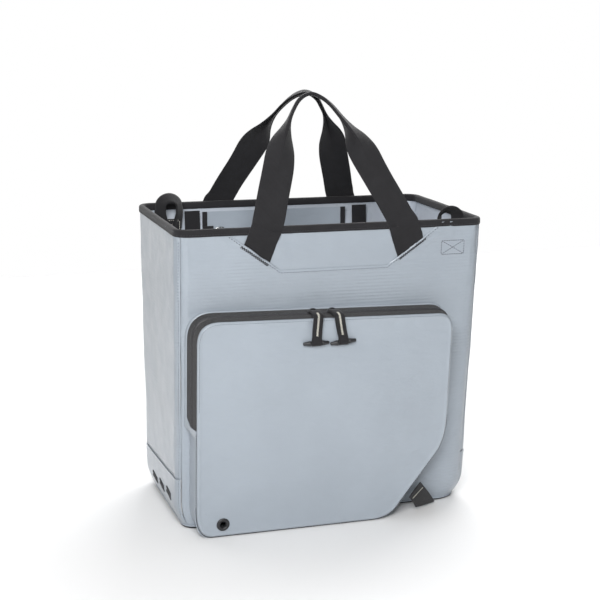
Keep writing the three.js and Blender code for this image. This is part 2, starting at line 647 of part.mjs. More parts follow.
function addClosure() {
  const panelLow = CLOSURE_HINGE_Z - CLOSURE_PANEL_DROP;
  const tapeHigh = panelLow - GAP;
  const tapeLow = tapeHigh - CLOSURE_TAPE_DROP;
  const inset = CLOSURE_INSET;
  for (const [end, x0, x1, turn] of [
    ['back', CLOSURE_LEFT, CLOSURE_RIGHT, 0],
    ['front', -CLOSURE_RIGHT, -CLOSURE_LEFT, Math.PI],
  ]) {
    const panel = hangingSheet(x0, x1, CLOSURE_HINGE_Z, panelLow, inset, CLOSURE_THICKNESS);
    const tape = hangingSheet(x0, x1, tapeHigh, tapeLow, inset, CLOSURE_THICKNESS);
    add(`closure_${end}_panel`, panel.rotateZ(turn), liningFabric());
    add(`closure_${end}_stringer`, tape.rotateZ(turn), zipTape());
  }
  const face = inset + CLOSURE_THICKNESS + GAP;
  const sliderLow = tapeLow + CLOSURE_SLIDER.tapeBelow;
  const sliderHigh = tapeHigh - CLOSURE_SLIDER.tapeAbove;
  const onSlider = (width, high, low, out, thickness) => {
    const { x } = CLOSURE_SLIDER;
    return hangingSheet(x - width / 2, x + width / 2, high, low, out, thickness);
  };
  const pullTop = sliderHigh - 3;
  const pullFace = face + CLOSURE_SLIDER.depth + GAP;
  const pullLow = pullTop - CLOSURE_PULL.length;
  const slider = onSlider(CLOSURE_SLIDER.width, sliderHigh, sliderLow, face, CLOSURE_SLIDER.depth);
  const pull = onSlider(CLOSURE_PULL.width, pullTop, pullLow, pullFace, CLOSURE_PULL.thickness);
  const tabLeft = CLOSURE_LEFT - CLOSURE_TAB.overhang;
  const tabRight = tabLeft + CLOSURE_TAB.width;
  const tabLow = sliderLow - CLOSURE_TAB.belowSlider;
  const tab = hangingSheet(tabLeft, tabRight, sliderHigh, tabLow, face, CLOSURE_TAB.thickness);
  add('closure_slider', slider, nickel());
  add('closure_zip_pull', pull, nickel());
  add('closure_end_tab', tab, webbing());

  const strapTop = CLOSURE_HINGE_Z + END_STRAP_RISE;
  const strapLow = strapTop - END_STRAP_DROP;
  for (const [side, x0] of Object.entries(END_STRAP_LEFT)) {
    const x1 = x0 + END_STRAP_WIDTH;
    const strap = hangingSheet(x0, x1, strapTop, strapLow, inset, END_STRAP_THICKNESS);
    add(`closure_${side}_strap`, strap, webbing());
  }
}

// Each loop is an arch of webbing that opens towards the bag's front and back.
function addStrapLoops() {
  const half = LOOP_WIDTH / 2;
  const inner = half - WEBBING_THICKNESS;
  const outline = new THREE.Shape();
  outline.moveTo(-half, LOOP_BOTTOM);
  outline.lineTo(half, LOOP_BOTTOM);
  outline.lineTo(half, LOOP_TOP - half);
  outline.absarc(0, LOOP_TOP - half, half, 0, Math.PI);
  const hole = new THREE.Path();
  hole.moveTo(-inner, LOOP_BOTTOM + LOOP_SEWN_HEIGHT);
  hole.lineTo(inner, LOOP_BOTTOM + LOOP_SEWN_HEIGHT);
  hole.lineTo(inner, LOOP_TOP - half);
  hole.absarc(0, LOOP_TOP - half, inner, 0, Math.PI);
  outline.holes.push(hole);
  const loop = new THREE.ExtrudeGeometry(outline, {
    depth: LOOP_DEPTH, bevelEnabled: false, curveSegments: 10,
  });
  const middleZ = (LOOP_TOP + LOOP_BOTTOM) / 2;
  loop.rotateX(Math.PI / 2).translate(-LOOP_X, backWall(middleZ, BINDING_INNER + 1), 0);
  add('strap_loop_back_left', loop, webbing());
  add('strap_loop_front_right', loop.clone().rotateZ(Math.PI), webbing());
}

addShell();
addInsulation();
addBinding();
addHandles();
addPocket();
addPulls();
addCornerTab();
addClosure();
addStrapLoops();

// The frame's origin is on the floor, under the middle of the whole bag.
const whole = new THREE.Box3().setFromObject(bag);
bag.position.y = -(whole.min.y + whole.max.y) / 2;

export default bag;
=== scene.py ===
"""An insulated cooler bag in coated grey fabric with black webbing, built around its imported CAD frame.

Shapes are worked out in millimetres in the bag's own frame, whose origin is on the floor under the middle of
the body, and put_in_frame() takes them to the CAD frame in metres.
"""
import math

import bpy
import numpy as np
from mathutils import Matrix, Vector, noise
from mathutils.bvhtree import BVHTree
from mathutils.geometry import delaunay_2d_cdt


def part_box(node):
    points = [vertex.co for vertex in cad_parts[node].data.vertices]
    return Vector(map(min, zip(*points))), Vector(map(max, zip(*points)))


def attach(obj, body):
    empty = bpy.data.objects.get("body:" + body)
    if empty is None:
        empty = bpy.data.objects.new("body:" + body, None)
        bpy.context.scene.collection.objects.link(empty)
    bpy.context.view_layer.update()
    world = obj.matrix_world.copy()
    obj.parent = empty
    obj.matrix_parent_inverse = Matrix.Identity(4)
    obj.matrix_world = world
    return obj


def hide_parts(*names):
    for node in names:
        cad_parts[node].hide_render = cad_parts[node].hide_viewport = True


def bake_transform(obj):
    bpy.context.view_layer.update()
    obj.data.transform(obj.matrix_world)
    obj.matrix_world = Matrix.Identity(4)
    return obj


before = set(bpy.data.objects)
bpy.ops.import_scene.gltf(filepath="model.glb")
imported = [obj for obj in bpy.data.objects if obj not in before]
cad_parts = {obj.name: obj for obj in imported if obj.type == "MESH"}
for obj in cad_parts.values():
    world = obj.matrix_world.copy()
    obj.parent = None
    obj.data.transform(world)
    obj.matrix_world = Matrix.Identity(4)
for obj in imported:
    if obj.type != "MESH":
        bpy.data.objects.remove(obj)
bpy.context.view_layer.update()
MM = 0.001

# ------------------------------------------------------------------ driving dimensions, in millimetres
MIDDLE_Y = (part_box("shell_front")[0].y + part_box("shell_back")[1].y) / 2 / MM
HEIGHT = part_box("rim_binding_front")[1].z / MM
BASE_HALF_WIDTH, RIM_HALF_WIDTH = 201.5, 203.5
BASE_HALF_DEPTH, RIM_HALF_DEPTH = 102.3, 115.5
BASE_CORNER, RIM_CORNER = 33.5, 17.0
POCKET_BASE_CORNER = 16.0  # the pocket's gusset draws the front left corner out square
EDGE_INSET, EDGE_HEIGHT = 10.5, 35.0  # how far and how high the lower edge turns in
FRONT_SLOPE = (RIM_HALF_DEPTH - BASE_HALF_DEPTH) / HEIGHT
SHELL = 1.2  # fabric and its backing
LINING = 0.8
LINING_INSET = 11.2
WRAP_BACK_Z, WRAP_FRONT_Z = 57.0, 66.0  # the side seam of the base wrap rises towards the front
YOKE_Z, YOKE_HALF, YOKE_SLOPE = 333.0, 71.0, 1.4  # the yoke's lower edge, half of it, and how fast it widens
PANEL_TOP = HEIGHT - 3.0

BINDING_HEIGHT, BINDING_OUT, BINDING_IN = 9.5, 1.5, 6.0
SQUEEZE_START = 340.0  # the wall is squeezed thinner from here up to the rim

WEBBING, WEBBING_THICK = 40.0, 1.8
LEG_X, LEG_LEAN = 90.0, 0.36  # a leg's distance from the middle at the rim, and how it spreads below
HANDLE_LEAN = 0.683  # how far the handles lean in for each millimetre up
SEAM_LIFT = 3.4  # how far the folded hem stands out where a handle's foot runs under it

HANDLE_FOOT_Y = -118.3
FOOT_LOW, FOOT_HIGH, FOOT_TUCK = 350.0, 384.0, 5.0
FOLD_REACH = 1.8  # half the width that bends where the webbing is folded
# Each arm's height over the rim and distance from the middle, then the directions of the webbing's outer and
# inner half in degrees: 0 is away from the middle, 90 into the bag and 180 towards the middle.
LEFT_ARM = (
    (12, 84.5, 0, 180), (32, 76.5, 0, 180), (62, 63.8, 4, 176), (84, 55.3, 22, 158), (100, 48.4, 46, 134),
    (114, 41, 70, 110), (126, 34, 86, 94), (140, 24, 88, 92), (150, 13, 74, 78),
)
TOP_OF_HANDLE = (154.5, 0, 60, 63)
RIGHT_ARM = (
    (12, 84.5, 0, 180), (32, 76.5, 0, 180), (62, 63.8, 0, 174), (82, 56.2, 4, 150), (98, 49.3, 22, 116),
    (112, 42.3, 42, 80), (126, 34, 50, 58), (140, 24, 52, 57), (150, 13, 55, 59),
)

POCKET_DEPTH = 39.8  # from the body to the face of the pocket
POCKET_LEFT, POCKET_RIGHT, POCKET_BOTTOM = -187.0, 150.0, 0.8
POCKET_TOP_LEFT, POCKET_TOP_SLOPE = 280.0, -0.022
POCKET_SPLIT_Z = 138.0  # the zip ends here
POCKET_WAIST = 2.0  # how far the outline has drawn in on the right where the zip ends
POCKET_CORNERS = {"top left": (-160, 252), "top right": (130, 250), "bottom left": (-165, 36)}
SLANT_TOP = {"bend z": 108, "x": 138, "z": 90}
SLANT_FOOT = {"x": 86, "z": 21, "bend x": 74, "end x": 48}
FRONT_ROLL = 3.2  # radius of the pocket front's edge
BAND_RISE = 5.0  # how far the gusset stands outside the pocket's front where it meets the body
ZIP_END_Z, ZIP_END_RISE = 142.5, 15.0  # where the fabric over the zip stops, and its climb to the body
PIPING = 5.0  # width of the fabric edge between the body and the zip
ZIP_MEET = 20.5  # where the zip's halves meet, out from the body
COIL_WIDTH, COIL_HEIGHT, COIL_PITCH = 2.6, 1.1, 2.0
PULL_WIDTH, PULL_DROP = 12.5, 28.5
TOGGLE_OFFSET = 43.9  # the toggles' distance out from the body
TOGGLE_LENGTH, TOGGLE_WAIST = 34.0, 2.3
# Both edges of the tab's upper and lower end.
CORNER_TAB_UPPER = ((98.5, -142, 27), (114, -142, 47))
CORNER_TAB_LOWER = ((119, -116, 2), (152, -104, 2.5))
LEFT_BAR_TACKS = ((36, 31, 11, 27), (-5, 33.5, -29, 29.5), (-47, 37, -71, 33))  # Y and Z of both ends

EYELET_X, EYELET_Z, EYELET_HOLE = -153.0, 17.0, 4.6
CLOSURE_LEFT, CLOSURE_RIGHT, CLOSURE_HINGE_Z = -115.0, 89.0, 376.0
CLOSURE_DROP, CLOSURE_INSET = 30.0, 13.7  # the flaps' height, and their distance in from the outline
LOOP_X, LOOP_WIDTH, LOOP_TOP, LOOP_DEPTH, LOOP_MIDDLE_Z = 164.0, 30.0, 399.0, 10.0, 375.5


def clamp(value):
    return min(1.0, max(0.0, value))


def ease(share):
    """A smooth step from 0 to 1."""
    return share * share * (3 - 2 * share)


def put_in_frame(points):
    """Bag-frame millimetres to CAD-frame metres."""
    return (np.asarray(points, float) + (0.0, MIDDLE_Y, 0.0)) * MM


# ------------------------------------------------------------------ materials
class Nodes:
    """A material's node tree, with short calls for the nodes used here."""

    def __init__(self, name, roughness, metallic=0.0, specular=0.5):
        self.material = bpy.data.materials.new(name)
        self.material.use_nodes = True
        self.tree = self.material.node_tree
        self.shader = self.tree.nodes["Principled BSDF"]
        self.shader.inputs["Roughness"].default_value = roughness
        self.shader.inputs["Metallic"].default_value = metallic
        self.shader.inputs["Specular IOR Level"].default_value = specular
        self.coords = self.tree.nodes.new("ShaderNodeTexCoord").outputs["Object"]

    def node(self, kind, inputs=None, **settings):
        made = self.tree.nodes.new(kind)
        for key, value in settings.items():
            setattr(made, key, value)
        for key, value in (inputs or {}).items():
            if isinstance(value, bpy.types.NodeSocket):
                self.tree.links.new(value, made.inputs[key])
            else:
                made.inputs[key].default_value = value
        return made

    def uv(self):
        return self.node("ShaderNodeUVMap", uv_map="Weave").outputs["UV"]

    def noise(self, size, detail=2.0, coords=None, stretch=(1, 1, 1)):
        """Noise whose features are about size millimetres across."""
        mapped = self.node("ShaderNodeMapping", {"Vector": coords or self.coords, "Scale": stretch})
        inputs = {"Vector": mapped.outputs["Vector"], "Scale": 1 / (size * MM), "Detail": detail}
        return self.node("ShaderNodeTexNoise", inputs).outputs["Fac"]

    def bands(self, pitch, direction, coords=None, distortion=0.0, profile="SIN"):
        """Bands pitch millimetres apart across direction."""
        inputs = {"Vector": coords or self.coords, "Scale": math.pi / 10 / (pitch * MM),
                  "Distortion": distortion, "Detail": 1.0, "Detail Scale": 1.0}
        return self.node("ShaderNodeTexWave", inputs, bands_direction=direction,
                         wave_profile=profile).outputs["Fac"]

    def math(self, operation, a, b=0.0, clamp=False):
        made = self.node("ShaderNodeMath", {0: a, 1: b}, operation=operation)
        made.use_clamp = clamp
        return made.outputs[0]

    def scaled(self, value, low, high, out_low=0.0, out_high=1.0):
        inputs = {"Value": value, "From Min": low, "From Max": high, "To Min": out_low, "To Max": out_high}
        return self.node("ShaderNodeMapRange", inputs).outputs["Result"]

    def blend(self, share, a, b):
        """A colour between a and b, each a colour or another node's output."""
        made = self.node("ShaderNodeMix", data_type="RGBA")
        for place, value in ((0, share), (6, a), (7, b)):
            if isinstance(value, bpy.types.NodeSocket):
                self.tree.links.new(value, made.inputs[place])
            else:
                made.inputs[place].default_value = (*value, 1) if place else value
        return made.outputs[2]

    def colour(self, value):
        if isinstance(value, bpy.types.NodeSocket):
            self.tree.links.new(value, self.shader.inputs["Base Color"])
        else:
            self.shader.inputs["Base Color"].default_value = (*value, 1)

    def rough(self, value):
        self.tree.links.new(value, self.shader.inputs["Roughness"])

    def bump(self, *layers):
        """Each layer is a height from 0 to 1 and its depth in millimetres."""
        normal = None
        for height, depth in layers:
            inputs = {"Height": height, "Distance": depth * MM, "Strength": 1.0}
            if normal:
                inputs["Normal"] = normal
            normal = self.node("ShaderNodeBump", inputs).outputs["Normal"]
        self.tree.links.new(normal, self.shader.inputs["Normal"])


def tint(colour, factor):
    return tuple(min(1.0, c * factor) for c in colour)


GREY = (0.322, 0.362, 0.408)


def coated_fabric(name, ribs):
    """Coated polyester: a satin film over a fine weave, with level ribs where ribs is true."""
    n = Nodes(name, 0.36, specular=0.45)
    cloud = n.noise(90, 3)
    fine = n.noise(0.9, 2)
    n.colour(n.blend(n.scaled(cloud, 0.3, 0.7), tint(GREY, 0.965), tint(GREY, 1.035)))
    n.rough(n.scaled(n.noise(25, 3), 0.3, 0.7, 0.30, 0.42))
    crinkle = n.noise(13, 3, stretch=(0.7, 0.7, 1.3))
    warp = n.bands(1.1, "X")
    weft = n.bands(1.1, "Z")
    layers = [(crinkle, 0.9), (n.math("ADD", warp, weft), 0.012), (fine, 0.03)]
    if ribs:
        strength = n.scaled(n.noise(60, 2), 0.35, 0.6)
        layers.append((n.math("MULTIPLY", n.bands(4.3, "Z", distortion=0.25), strength), 0.24))
    n.bump(*layers)
    n.shader.inputs["Sheen Weight"].default_value = 0.06
    n.shader.inputs["Coat Weight"].default_value = 0.3
    n.shader.inputs["Coat Roughness"].default_value = 0.2
    return n.material


def lining_film():
    n = Nodes("lining_film", 0.3)
    base = (0.46, 0.5, 0.56)
    n.colour(n.blend(n.scaled(n.noise(70, 3), 0.3, 0.7), tint(base, 0.9), tint(base, 1.1)))
    n.rough(n.scaled(n.noise(30, 2), 0.3, 0.7, 0.24, 0.38))
    n.bump((n.noise(22, 3), 1.2), (n.noise(7, 2), 0.25))
    return n.material


def webbing_material(name, colour, across=1.5, along=0.95):
    """Woven tape: ribs along it, crossed by finer ones, read from the strip's own layout."""
    n = Nodes(name, 0.85, specular=0.25)
    uv = n.uv()
    rib = n.bands(across, "X", uv)
    pick = n.bands(along, "Y", uv, distortion=0.4)
    weave = n.math("MULTIPLY", rib, n.scaled(pick, 0, 1, 0.55, 1))
    fuzz = n.noise(0.6, 2)
    cloud = n.scaled(n.noise(18, 3), 0.3, 0.7)
    tone = n.scaled(n.math("MULTIPLY", weave, n.scaled(fuzz, 0.3, 0.7, 0.7, 1.0)), 0, 1)
    dark = n.blend(tone, tint(colour, 0.62), tint(colour, 1.3))
    n.colour(n.blend(n.math("MULTIPLY", cloud, 0.3), dark, tint(colour, 1.5)))
    n.bump((weave, 0.16), (fuzz, 0.05))
    n.shader.inputs["Sheen Weight"].default_value = 0.12
    n.shader.inputs["Sheen Roughness"].default_value = 0.5
    return n.material


def thread_material(name, colour):
    n = Nodes(name, 0.6)
    twist = n.bands(0.5, "DIAGONAL")
    n.colour(n.blend(twist, tint(colour, 0.72), tint(colour, 1.1)))
    n.bump((twist, 0.05))
    return n.material


def plastic_material(name, colour, roughness):
    n = Nodes(name, roughness)
    mottle = n.scaled(n.noise(5, 3), 0.3, 0.7)
    n.colour(n.blend(mottle, tint(colour, 0.85), tint(colour, 1.25)))
    n.rough(n.scaled(n.noise(2.5, 3), 0.3, 0.7, roughness - 0.08, roughness + 0.1))
    n.bump((n.noise(0.5, 2), 0.02))
    return n.material


def nickel_material():
    n = Nodes("nickel", 0.22, metallic=1.0)
    n.colour(n.blend(n.noise(6, 3), (0.5, 0.5, 0.5), (0.72, 0.72, 0.7)))
    n.rough(n.scaled(n.noise(1.5, 3), 0.3, 0.7, 0.15, 0.34))
    return n.material


def foam_material():
    n = Nodes("closed_cell_foam", 0.95)
    cells = n.node("ShaderNodeTexVoronoi", {"Vector": n.coords, "Scale": 1 / (1.2 * MM)})
    n.colour(n.blend(n.noise(20), (0.74, 0.74, 0.72), (0.82, 0.82, 0.8)))
    n.bump((cells.outputs["Distance"], 0.1))
    return n.material


def board_material():
    n = Nodes("stiffener_board", 0.6)
    n.colour(n.blend(n.noise(30), (0.62, 0.62, 0.6), (0.72, 0.72, 0.7)))
    n.bump((n.bands(3, "X"), 0.05), (n.noise(1), 0.04))
    return n.material


SHELL_FABRIC = coated_fabric("ribbed_coated_fabric", True)
PLAIN_FABRIC = coated_fabric("plain_coated_fabric", False)
POCKET_FABRIC = coated_fabric("pocket_coated_fabric", False)
CLOSURE_FABRIC = coated_fabric("closure_coated_fabric", False)
LINING_FILM = lining_film()
BLACK = (0.017, 0.0165, 0.0185)
BLACK_WEBBING = webbing_material("black_webbing", BLACK)
BINDING_TAPE = webbing_material("black_binding", tint(BLACK, 1.15), across=1.0, along=1.3)
ZIP_TAPE = webbing_material("black_zip_tape", tint(BLACK, 1.0), across=0.8, along=0.8)
COIL_PLASTIC = plastic_material("coil_nylon", (0.03, 0.029, 0.032), 0.42)
BLACK_PLASTIC = plastic_material("black_plastic", (0.02, 0.02, 0.022), 0.38)
NICKEL = nickel_material()
LIGHT_THREAD = thread_material("cream_thread", (0.72, 0.70, 0.62))
GREY_THREAD = thread_material("grey_thread", (0.10, 0.105, 0.115))
DARK_THREAD = thread_material("dark_thread", (0.035, 0.035, 0.04))
FOAM = foam_material()
BOARD = board_material()


# ------------------------------------------------------------------ meshes
def make_object(name, points, faces, material, body, uv=None, smooth=True):
    """A piece in the CAD frame from bag-frame points, riding on a body."""
    mesh = bpy.data.meshes.new(name)
    mesh.from_pydata([tuple(p) for p in put_in_frame(points)], [], faces)
    mesh.materials.append(material)
    mesh.polygons.foreach_set("use_smooth", [smooth] * len(mesh.polygons))
    if uv is not None:
        layer = mesh.uv_layers.new(name="Weave")
        index = np.zeros(len(mesh.loops), np.int32)
        mesh.loops.foreach_get("vertex_index", index)
        layer.data.foreach_set("uv", (np.asarray(uv, float)[index] * MM).astype(np.float32).ravel())
    mesh.validate()
    made = bpy.data.objects.new(name, mesh)
    bpy.context.scene.collection.objects.link(made)
    if body:
        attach(made, body)
    return made


def grid_faces(rows, columns, start=0, flip=False, wrap=False):
    faces = []
    for i in range(rows - 1):
        for j in range(columns if wrap else columns - 1):
            k = (j + 1) % columns
            a, b = start + i * columns + j, start + i * columns + k
            c, d = b + columns, a + columns
            faces.append((a, d, c, b) if flip else (a, b, c, d))
    return faces


def grid_normals(grid):
    """Unit normals of a rows by columns grid of points."""
    along_rows = np.gradient(grid, axis=0)
    along_columns = np.gradient(grid, axis=1)
    normal = np.cross(along_columns, along_rows)
    return normal / np.maximum(np.linalg.norm(normal, axis=2, keepdims=True), 1e-9)


def slab(name, grid, thickness, material, body, outward, inner=None):
    """A closed sheet of that thickness behind a grid of points that faces outward."""
    grid = np.asarray(grid, float)
    normals = grid_normals(grid)
    if np.sum(normals * np.asarray(outward, float)) < 0:
        normals = -normals
    back = grid - normals * thickness if inner is None else inner
    rows, columns = grid.shape[:2]
    count = rows * columns
    points = np.concatenate([grid.reshape(-1, 3), back.reshape(-1, 3)])
    outer_cross = np.cross(grid[0, 1] - grid[0, 0], grid[1, 0] - grid[0, 0])
    flip = bool(np.dot(outer_cross, normals[0, 0]) < 0)
    faces = grid_faces(rows, columns, 0, flip) + grid_faces(rows, columns, count, not flip)
    edge = [*range(columns), *[i * columns + columns - 1 for i in range(1, rows)],
            *[(rows - 1) * columns + j for j in range(columns - 2, -1, -1)],
            *[i * columns for i in range(rows - 2, 0, -1)]]
    for a, b in zip(edge, edge[1:] + edge[:1]):
        face = (a, a + count, b + count, b)
        faces.append(tuple(reversed(face)) if flip else face)
    made = make_object(name, points, faces, material, body)
    sharpen(made)
    return made


def sharpen(made, angle=50):
    """Keeps the smooth shading from running round edges sharper than angle degrees."""
    mesh = made.data
    mesh.set_sharp_from_angle(angle=math.radians(angle))


def loft(name, sections, material, body, uv=None, caps=True, closed=False):
    """A solid through closed sections of equally many points."""
    sections = np.asarray(sections, float)
    rows, columns = sections.shape[:2]
    points = sections.reshape(-1, 3)
    if closed:
        sections_faces = grid_faces(rows, columns, 0, False, True)
        for j in range(columns):
            k = (j + 1) % columns
            a, b = (rows - 1) * columns + j, (rows - 1) * columns + k
            sections_faces.append((a, b, k, j))
    else:
        sections_faces = grid_faces(rows, columns, 0, False, True)
        if caps:
            sections_faces.append(tuple(range(columns - 1, -1, -1)))
            sections_faces.append(tuple((rows - 1) * columns + j for j in range(columns)))
    made = make_object(name, points, sections_faces, material, body, uv)
    face_outwards(made)
    sharpen(made, 60)
    return made


def face_outwards(made):
    """Turns a closed mesh's faces outwards by the sign of its volume."""
    mesh = made.data
    volume = 0.0
    for polygon in mesh.polygons:
        corners = [mesh.vertices[i].co for i in polygon.vertices]
        for b, c in zip(corners[1:], corners[2:]):
            volume += corners[0].dot(b.cross(c))
    if volume < 0:
        mesh.flip_normals()


def rounded_strip_section(width, thickness):
    """A webbing's section, as pairs across its width and through its thickness, with soft edges."""
    half, t = width / 2, thickness / 2
    across = [-half + 0.5 * t, -half * 0.6, 0, half * 0.6, half - 0.5 * t]
    top = [(a, t) for a in across]
    edge = [(half - 0.1 * t, 0.5 * t), (half, 0), (half - 0.1 * t, -0.5 * t)]
    bottom = [(a, -t) for a in reversed(across)]
    other = [(-half + 0.1 * t, -0.5 * t), (-half, 0), (-half + 0.1 * t, 0.5 * t)]
    return top + edge + bottom + other


def path_lengths(points):
    steps = np.linalg.norm(np.diff(points, axis=0), axis=1)
    return np.concatenate([[0], np.cumsum(steps)])


def smooth_path(points, count):
    """A Catmull-Rom curve through given points, at count even steps."""
    p = np.asarray(points, float)
    p = np.vstack([2 * p[0] - p[1], p, 2 * p[-1] - p[-2]])
    dense = []
    for i in range(1, len(p) - 2):
        for t in np.linspace(0, 1, 24, endpoint=False):
            a, b, c, d = p[i - 1], p[i], p[i + 1], p[i + 2]
            dense.append(0.5 * (2 * b + (c - a) * t + (2 * a - 5 * b + 4 * c - d) * t * t
                                + (3 * b - a - 3 * c + d) * t ** 3))
    dense.append(p[-2])
    dense = np.array(dense)
    length = path_lengths(dense)
    even = np.linspace(0, length[-1], count)
    return np.stack([np.interp(even, length, dense[:, k]) for k in range(dense.shape[1])], axis=1)


def unit(v):
    v = np.asarray(v, float)
    return v / np.maximum(np.linalg.norm(v, axis=-1, keepdims=True), 1e-9)


def strip(name, centres, normals, width, thickness, material, body):
    """Webbing along a line of centres, facing normals."""
    centres = np.asarray(centres, float)
    tangents = unit(np.gradient(centres, axis=0))
    across = unit(np.cross(tangents, normals))
    facing = unit(np.cross(across, tangents))
    section = rounded_strip_section(width, thickness)
    length = path_lengths(centres)
    sections, uv = [], []
    for c, a, f, along in zip(centres, across, facing, length):
        sections.append([c + a * w + f * t for w, t in section])
        uv += [(w + width / 2, along) for w, t in section]
    return loft(name, sections, material, body, uv)


# ------------------------------------------------------------------ stitching
def surface_of(*objects):
    """A search tree over finished pieces, in the CAD frame."""
    points, faces = [], []
    for made in objects:
        start = len(points)
        points += [made.matrix_world @ v.co for v in made.data.vertices]
        faces += [[start + i for i in p.vertices] for p in made.data.polygons]
    return BVHTree.FromPolygons(points, faces)


def drape(points, direction, tree):
    """Bag-frame points dropped along direction onto a surface: their places there, and its normals."""
    return drape_each(points, np.tile(np.asarray(direction, float), (len(points), 1)), tree)


def drape_each(points, directions, tree):
    """The same with a direction for each point."""
    places, normals = [], []
    for p, d in zip(put_in_frame(points), directions):
        d = Vector(unit(d))
        place, normal, _, _ = tree.ray_cast(Vector(p) - d * 60 * MM, d)
        if place is None:
            place, normal = Vector(p), -d
        places.append(np.array(place) / MM - (0, MIDDLE_Y, 0))
        normals.append(np.array(normal if normal.dot(d) < 0 else -normal))
    return np.array(places), np.array(normals)


class Thread:
    """Collects single stitches, each a small tapered rod, into one piece."""
    SIDES, RINGS = 6, ((0.0, 0.35), (0.12, 0.85), (0.5, 1.0), (0.88, 0.85), (1.0, 0.35))

    def __init__(self):
        self.points, self.faces = [], []

    def stitch(self, a, b, normal, radius, lift=0.35):
        axis = unit(b - a)
        side = unit(np.cross(axis, normal))
        up = np.cross(side, axis)
        start = len(self.points)
        for share, size in self.RINGS:
            centre = a + (b - a) * share + up * radius * (lift + size - 1)
            for k in range(self.SIDES):
                angle = 2 * math.pi * k / self.SIDES
                self.points.append(centre + (side * math.cos(angle) + up * math.sin(angle)) * radius * size)
        rings = len(self.RINGS)
        self.faces += grid_faces(rings, self.SIDES, start, True, True)
        self.faces.append(tuple(start + k for k in range(self.SIDES)))
        self.faces.append(tuple(start + (rings - 1) * self.SIDES + k for k in range(self.SIDES - 1, -1, -1)))

    def seam(self, points, normals, pitch, length, radius):
        """Running stitches along a draped line."""
        distance = path_lengths(points)
        for s in np.arange(pitch / 2, distance[-1] - length, pitch):
            a, b, n = (np.array([np.interp(at, distance, source[:, k]) for k in range(3)])
                       for at, source in ((s, points), (s + length, points), (s, normals)))
            self.stitch(a, b, n, radius)

    def zigzag(self, points, normals, width, pitch, radius):
        """A satin-stitched bar along a draped line."""
        distance = path_lengths(points)
        tangents = unit(np.gradient(points, axis=0))
        places = []
        for i, s in enumerate(np.arange(0, distance[-1], pitch)):
            p, n, t = (np.array([np.interp(s, distance, source[:, k]) for k in range(3)])
                       for source in (points, normals, tangents))
            sideways = unit(np.cross(t, n))
            places.append((p + sideways * width / 2 * (-1) ** i, n))
        for (a, n), (b, _) in zip(places, places[1:]):
            self.stitch(a, b, n, radius)

    def finish(self, name, material, body):
        return make_object(name, self.points, self.faces, material, body)


# ------------------------------------------------------------------ the body's outline
def mix(a, b, share):
    return a + (b - a) * share


def edge_inset(z):
    return EDGE_INSET * max(0.0, 1 - z / EDGE_HEIGHT) ** 2


def half_width(z):
    return mix(BASE_HALF_WIDTH, RIM_HALF_WIDTH, z / HEIGHT) - edge_inset(z)


def half_depth(z):
    return mix(BASE_HALF_DEPTH, RIM_HALF_DEPTH, z / HEIGHT) - edge_inset(z)


def corner_radius(z, part="right", end=0):
    """The corner's radius at the start or end of a wall."""
    base = POCKET_BASE_CORNER if (part, end) in (("front", 0), ("left", 1)) else BASE_CORNER
    return mix(base, RIM_CORNER, z / HEIGHT)


def straight_run(part, z):
    """Where a wall's straight side starts and ends, from its middle, anticlockwise."""
    half = half_width(z) if part in ("front", "back") else half_depth(z)
    return corner_radius(z, part, 0) - half, half - corner_radius(z, part, 1)


PART_START = {"front": 225, "right": 315, "back": 45, "left": 135}


def outline_point(part, share, z, out=0.0):
    """Place and outward direction on one wall at a height: share 0 to 1 is a half corner, 1 to 2 the straight
    side, anticlockwise, and 2 to 3 the next half corner."""
    start = PART_START[part]
    radius = corner_radius(z, part, 0 if share < 1.5 else 1)
    cx, cy = half_width(z) - radius, half_depth(z) - radius

    def on_corner(degrees):
        turn = degrees % 360
        probe = (start + 1 if share < 1.5 else start + 89) % 360
        centre = np.array([cx if probe < 90 or probe >= 270 else -cx, cy if probe < 180 else -cy])
        direction = np.array([math.cos(math.radians(turn)), math.sin(math.radians(turn))])
        return centre + direction * (radius + out), direction

    if share <= 1:
        place, direction = on_corner(start + 45 * share)
    elif share >= 2:
        place, direction = on_corner(start + 45 * (share - 1))
    else:
        middle = math.radians(start + 45)
        direction = np.array([math.cos(middle), math.sin(middle)])
        along = np.array([-direction[1], direction[0]])
        base = direction * ((half_depth(z) if part in ("front", "back") else half_width(z)) + out)
        place = base + along * mix(*straight_run(part, z), share - 1)
    near_corner = clamp((-place[0] - 60) / 100) * clamp((-place[1] - 20) / 60)
    drawn_out = edge_inset(z) * near_corner  # the gusset fills out the lower edge at the front left
    return np.array([place[0], place[1] - drawn_out, z]), np.array([direction[0], direction[1], 0.0])


def straight_share(part, position, z):
    """The share on a wall's straight side at a signed distance from its middle, anticlockwise positive."""
    start, end = straight_run(part, z)
    return 1 + (position - start) / (end - start)


def soft(a, b, seed, size):
    return noise.noise(Vector((a / size, b / size, seed)))


def relief(part, across, z):
    """How far the fabric stands out from the outline, with its slow swells and small puckers."""
    seed = {"front": 1.3, "right": 7.1, "back": 13.7, "left": 19.9}[part]
    slow = 1.3 * soft(across, z * 1.3, seed, 130) + 0.75 * soft(across * 1.2, z, seed + 2, 48)
    fine = 0.3 * soft(across * 0.8, z * 1.6, seed + 4, 15)
    near_rim = max(0.0, 1 - (HEIGHT - z) / 60)
    pucker = 0.9 * near_rim * soft(across * 1.6, z * 0.35, seed + 6, 13)
    return 0.7 + slow + fine + pucker


def seam_dip(distance, depth=1.5, reach=5.0):
    """Fabric pulled in along a seam."""
    return -depth * max(0.0, 1 - distance / reach) ** 2


HALF_CORNER = list(np.linspace(0, 1, 9))
HALF_CORNER_LENGTH = 25.0
FLAT_FOOT = 25.0  # below this height the fabric's swells die away


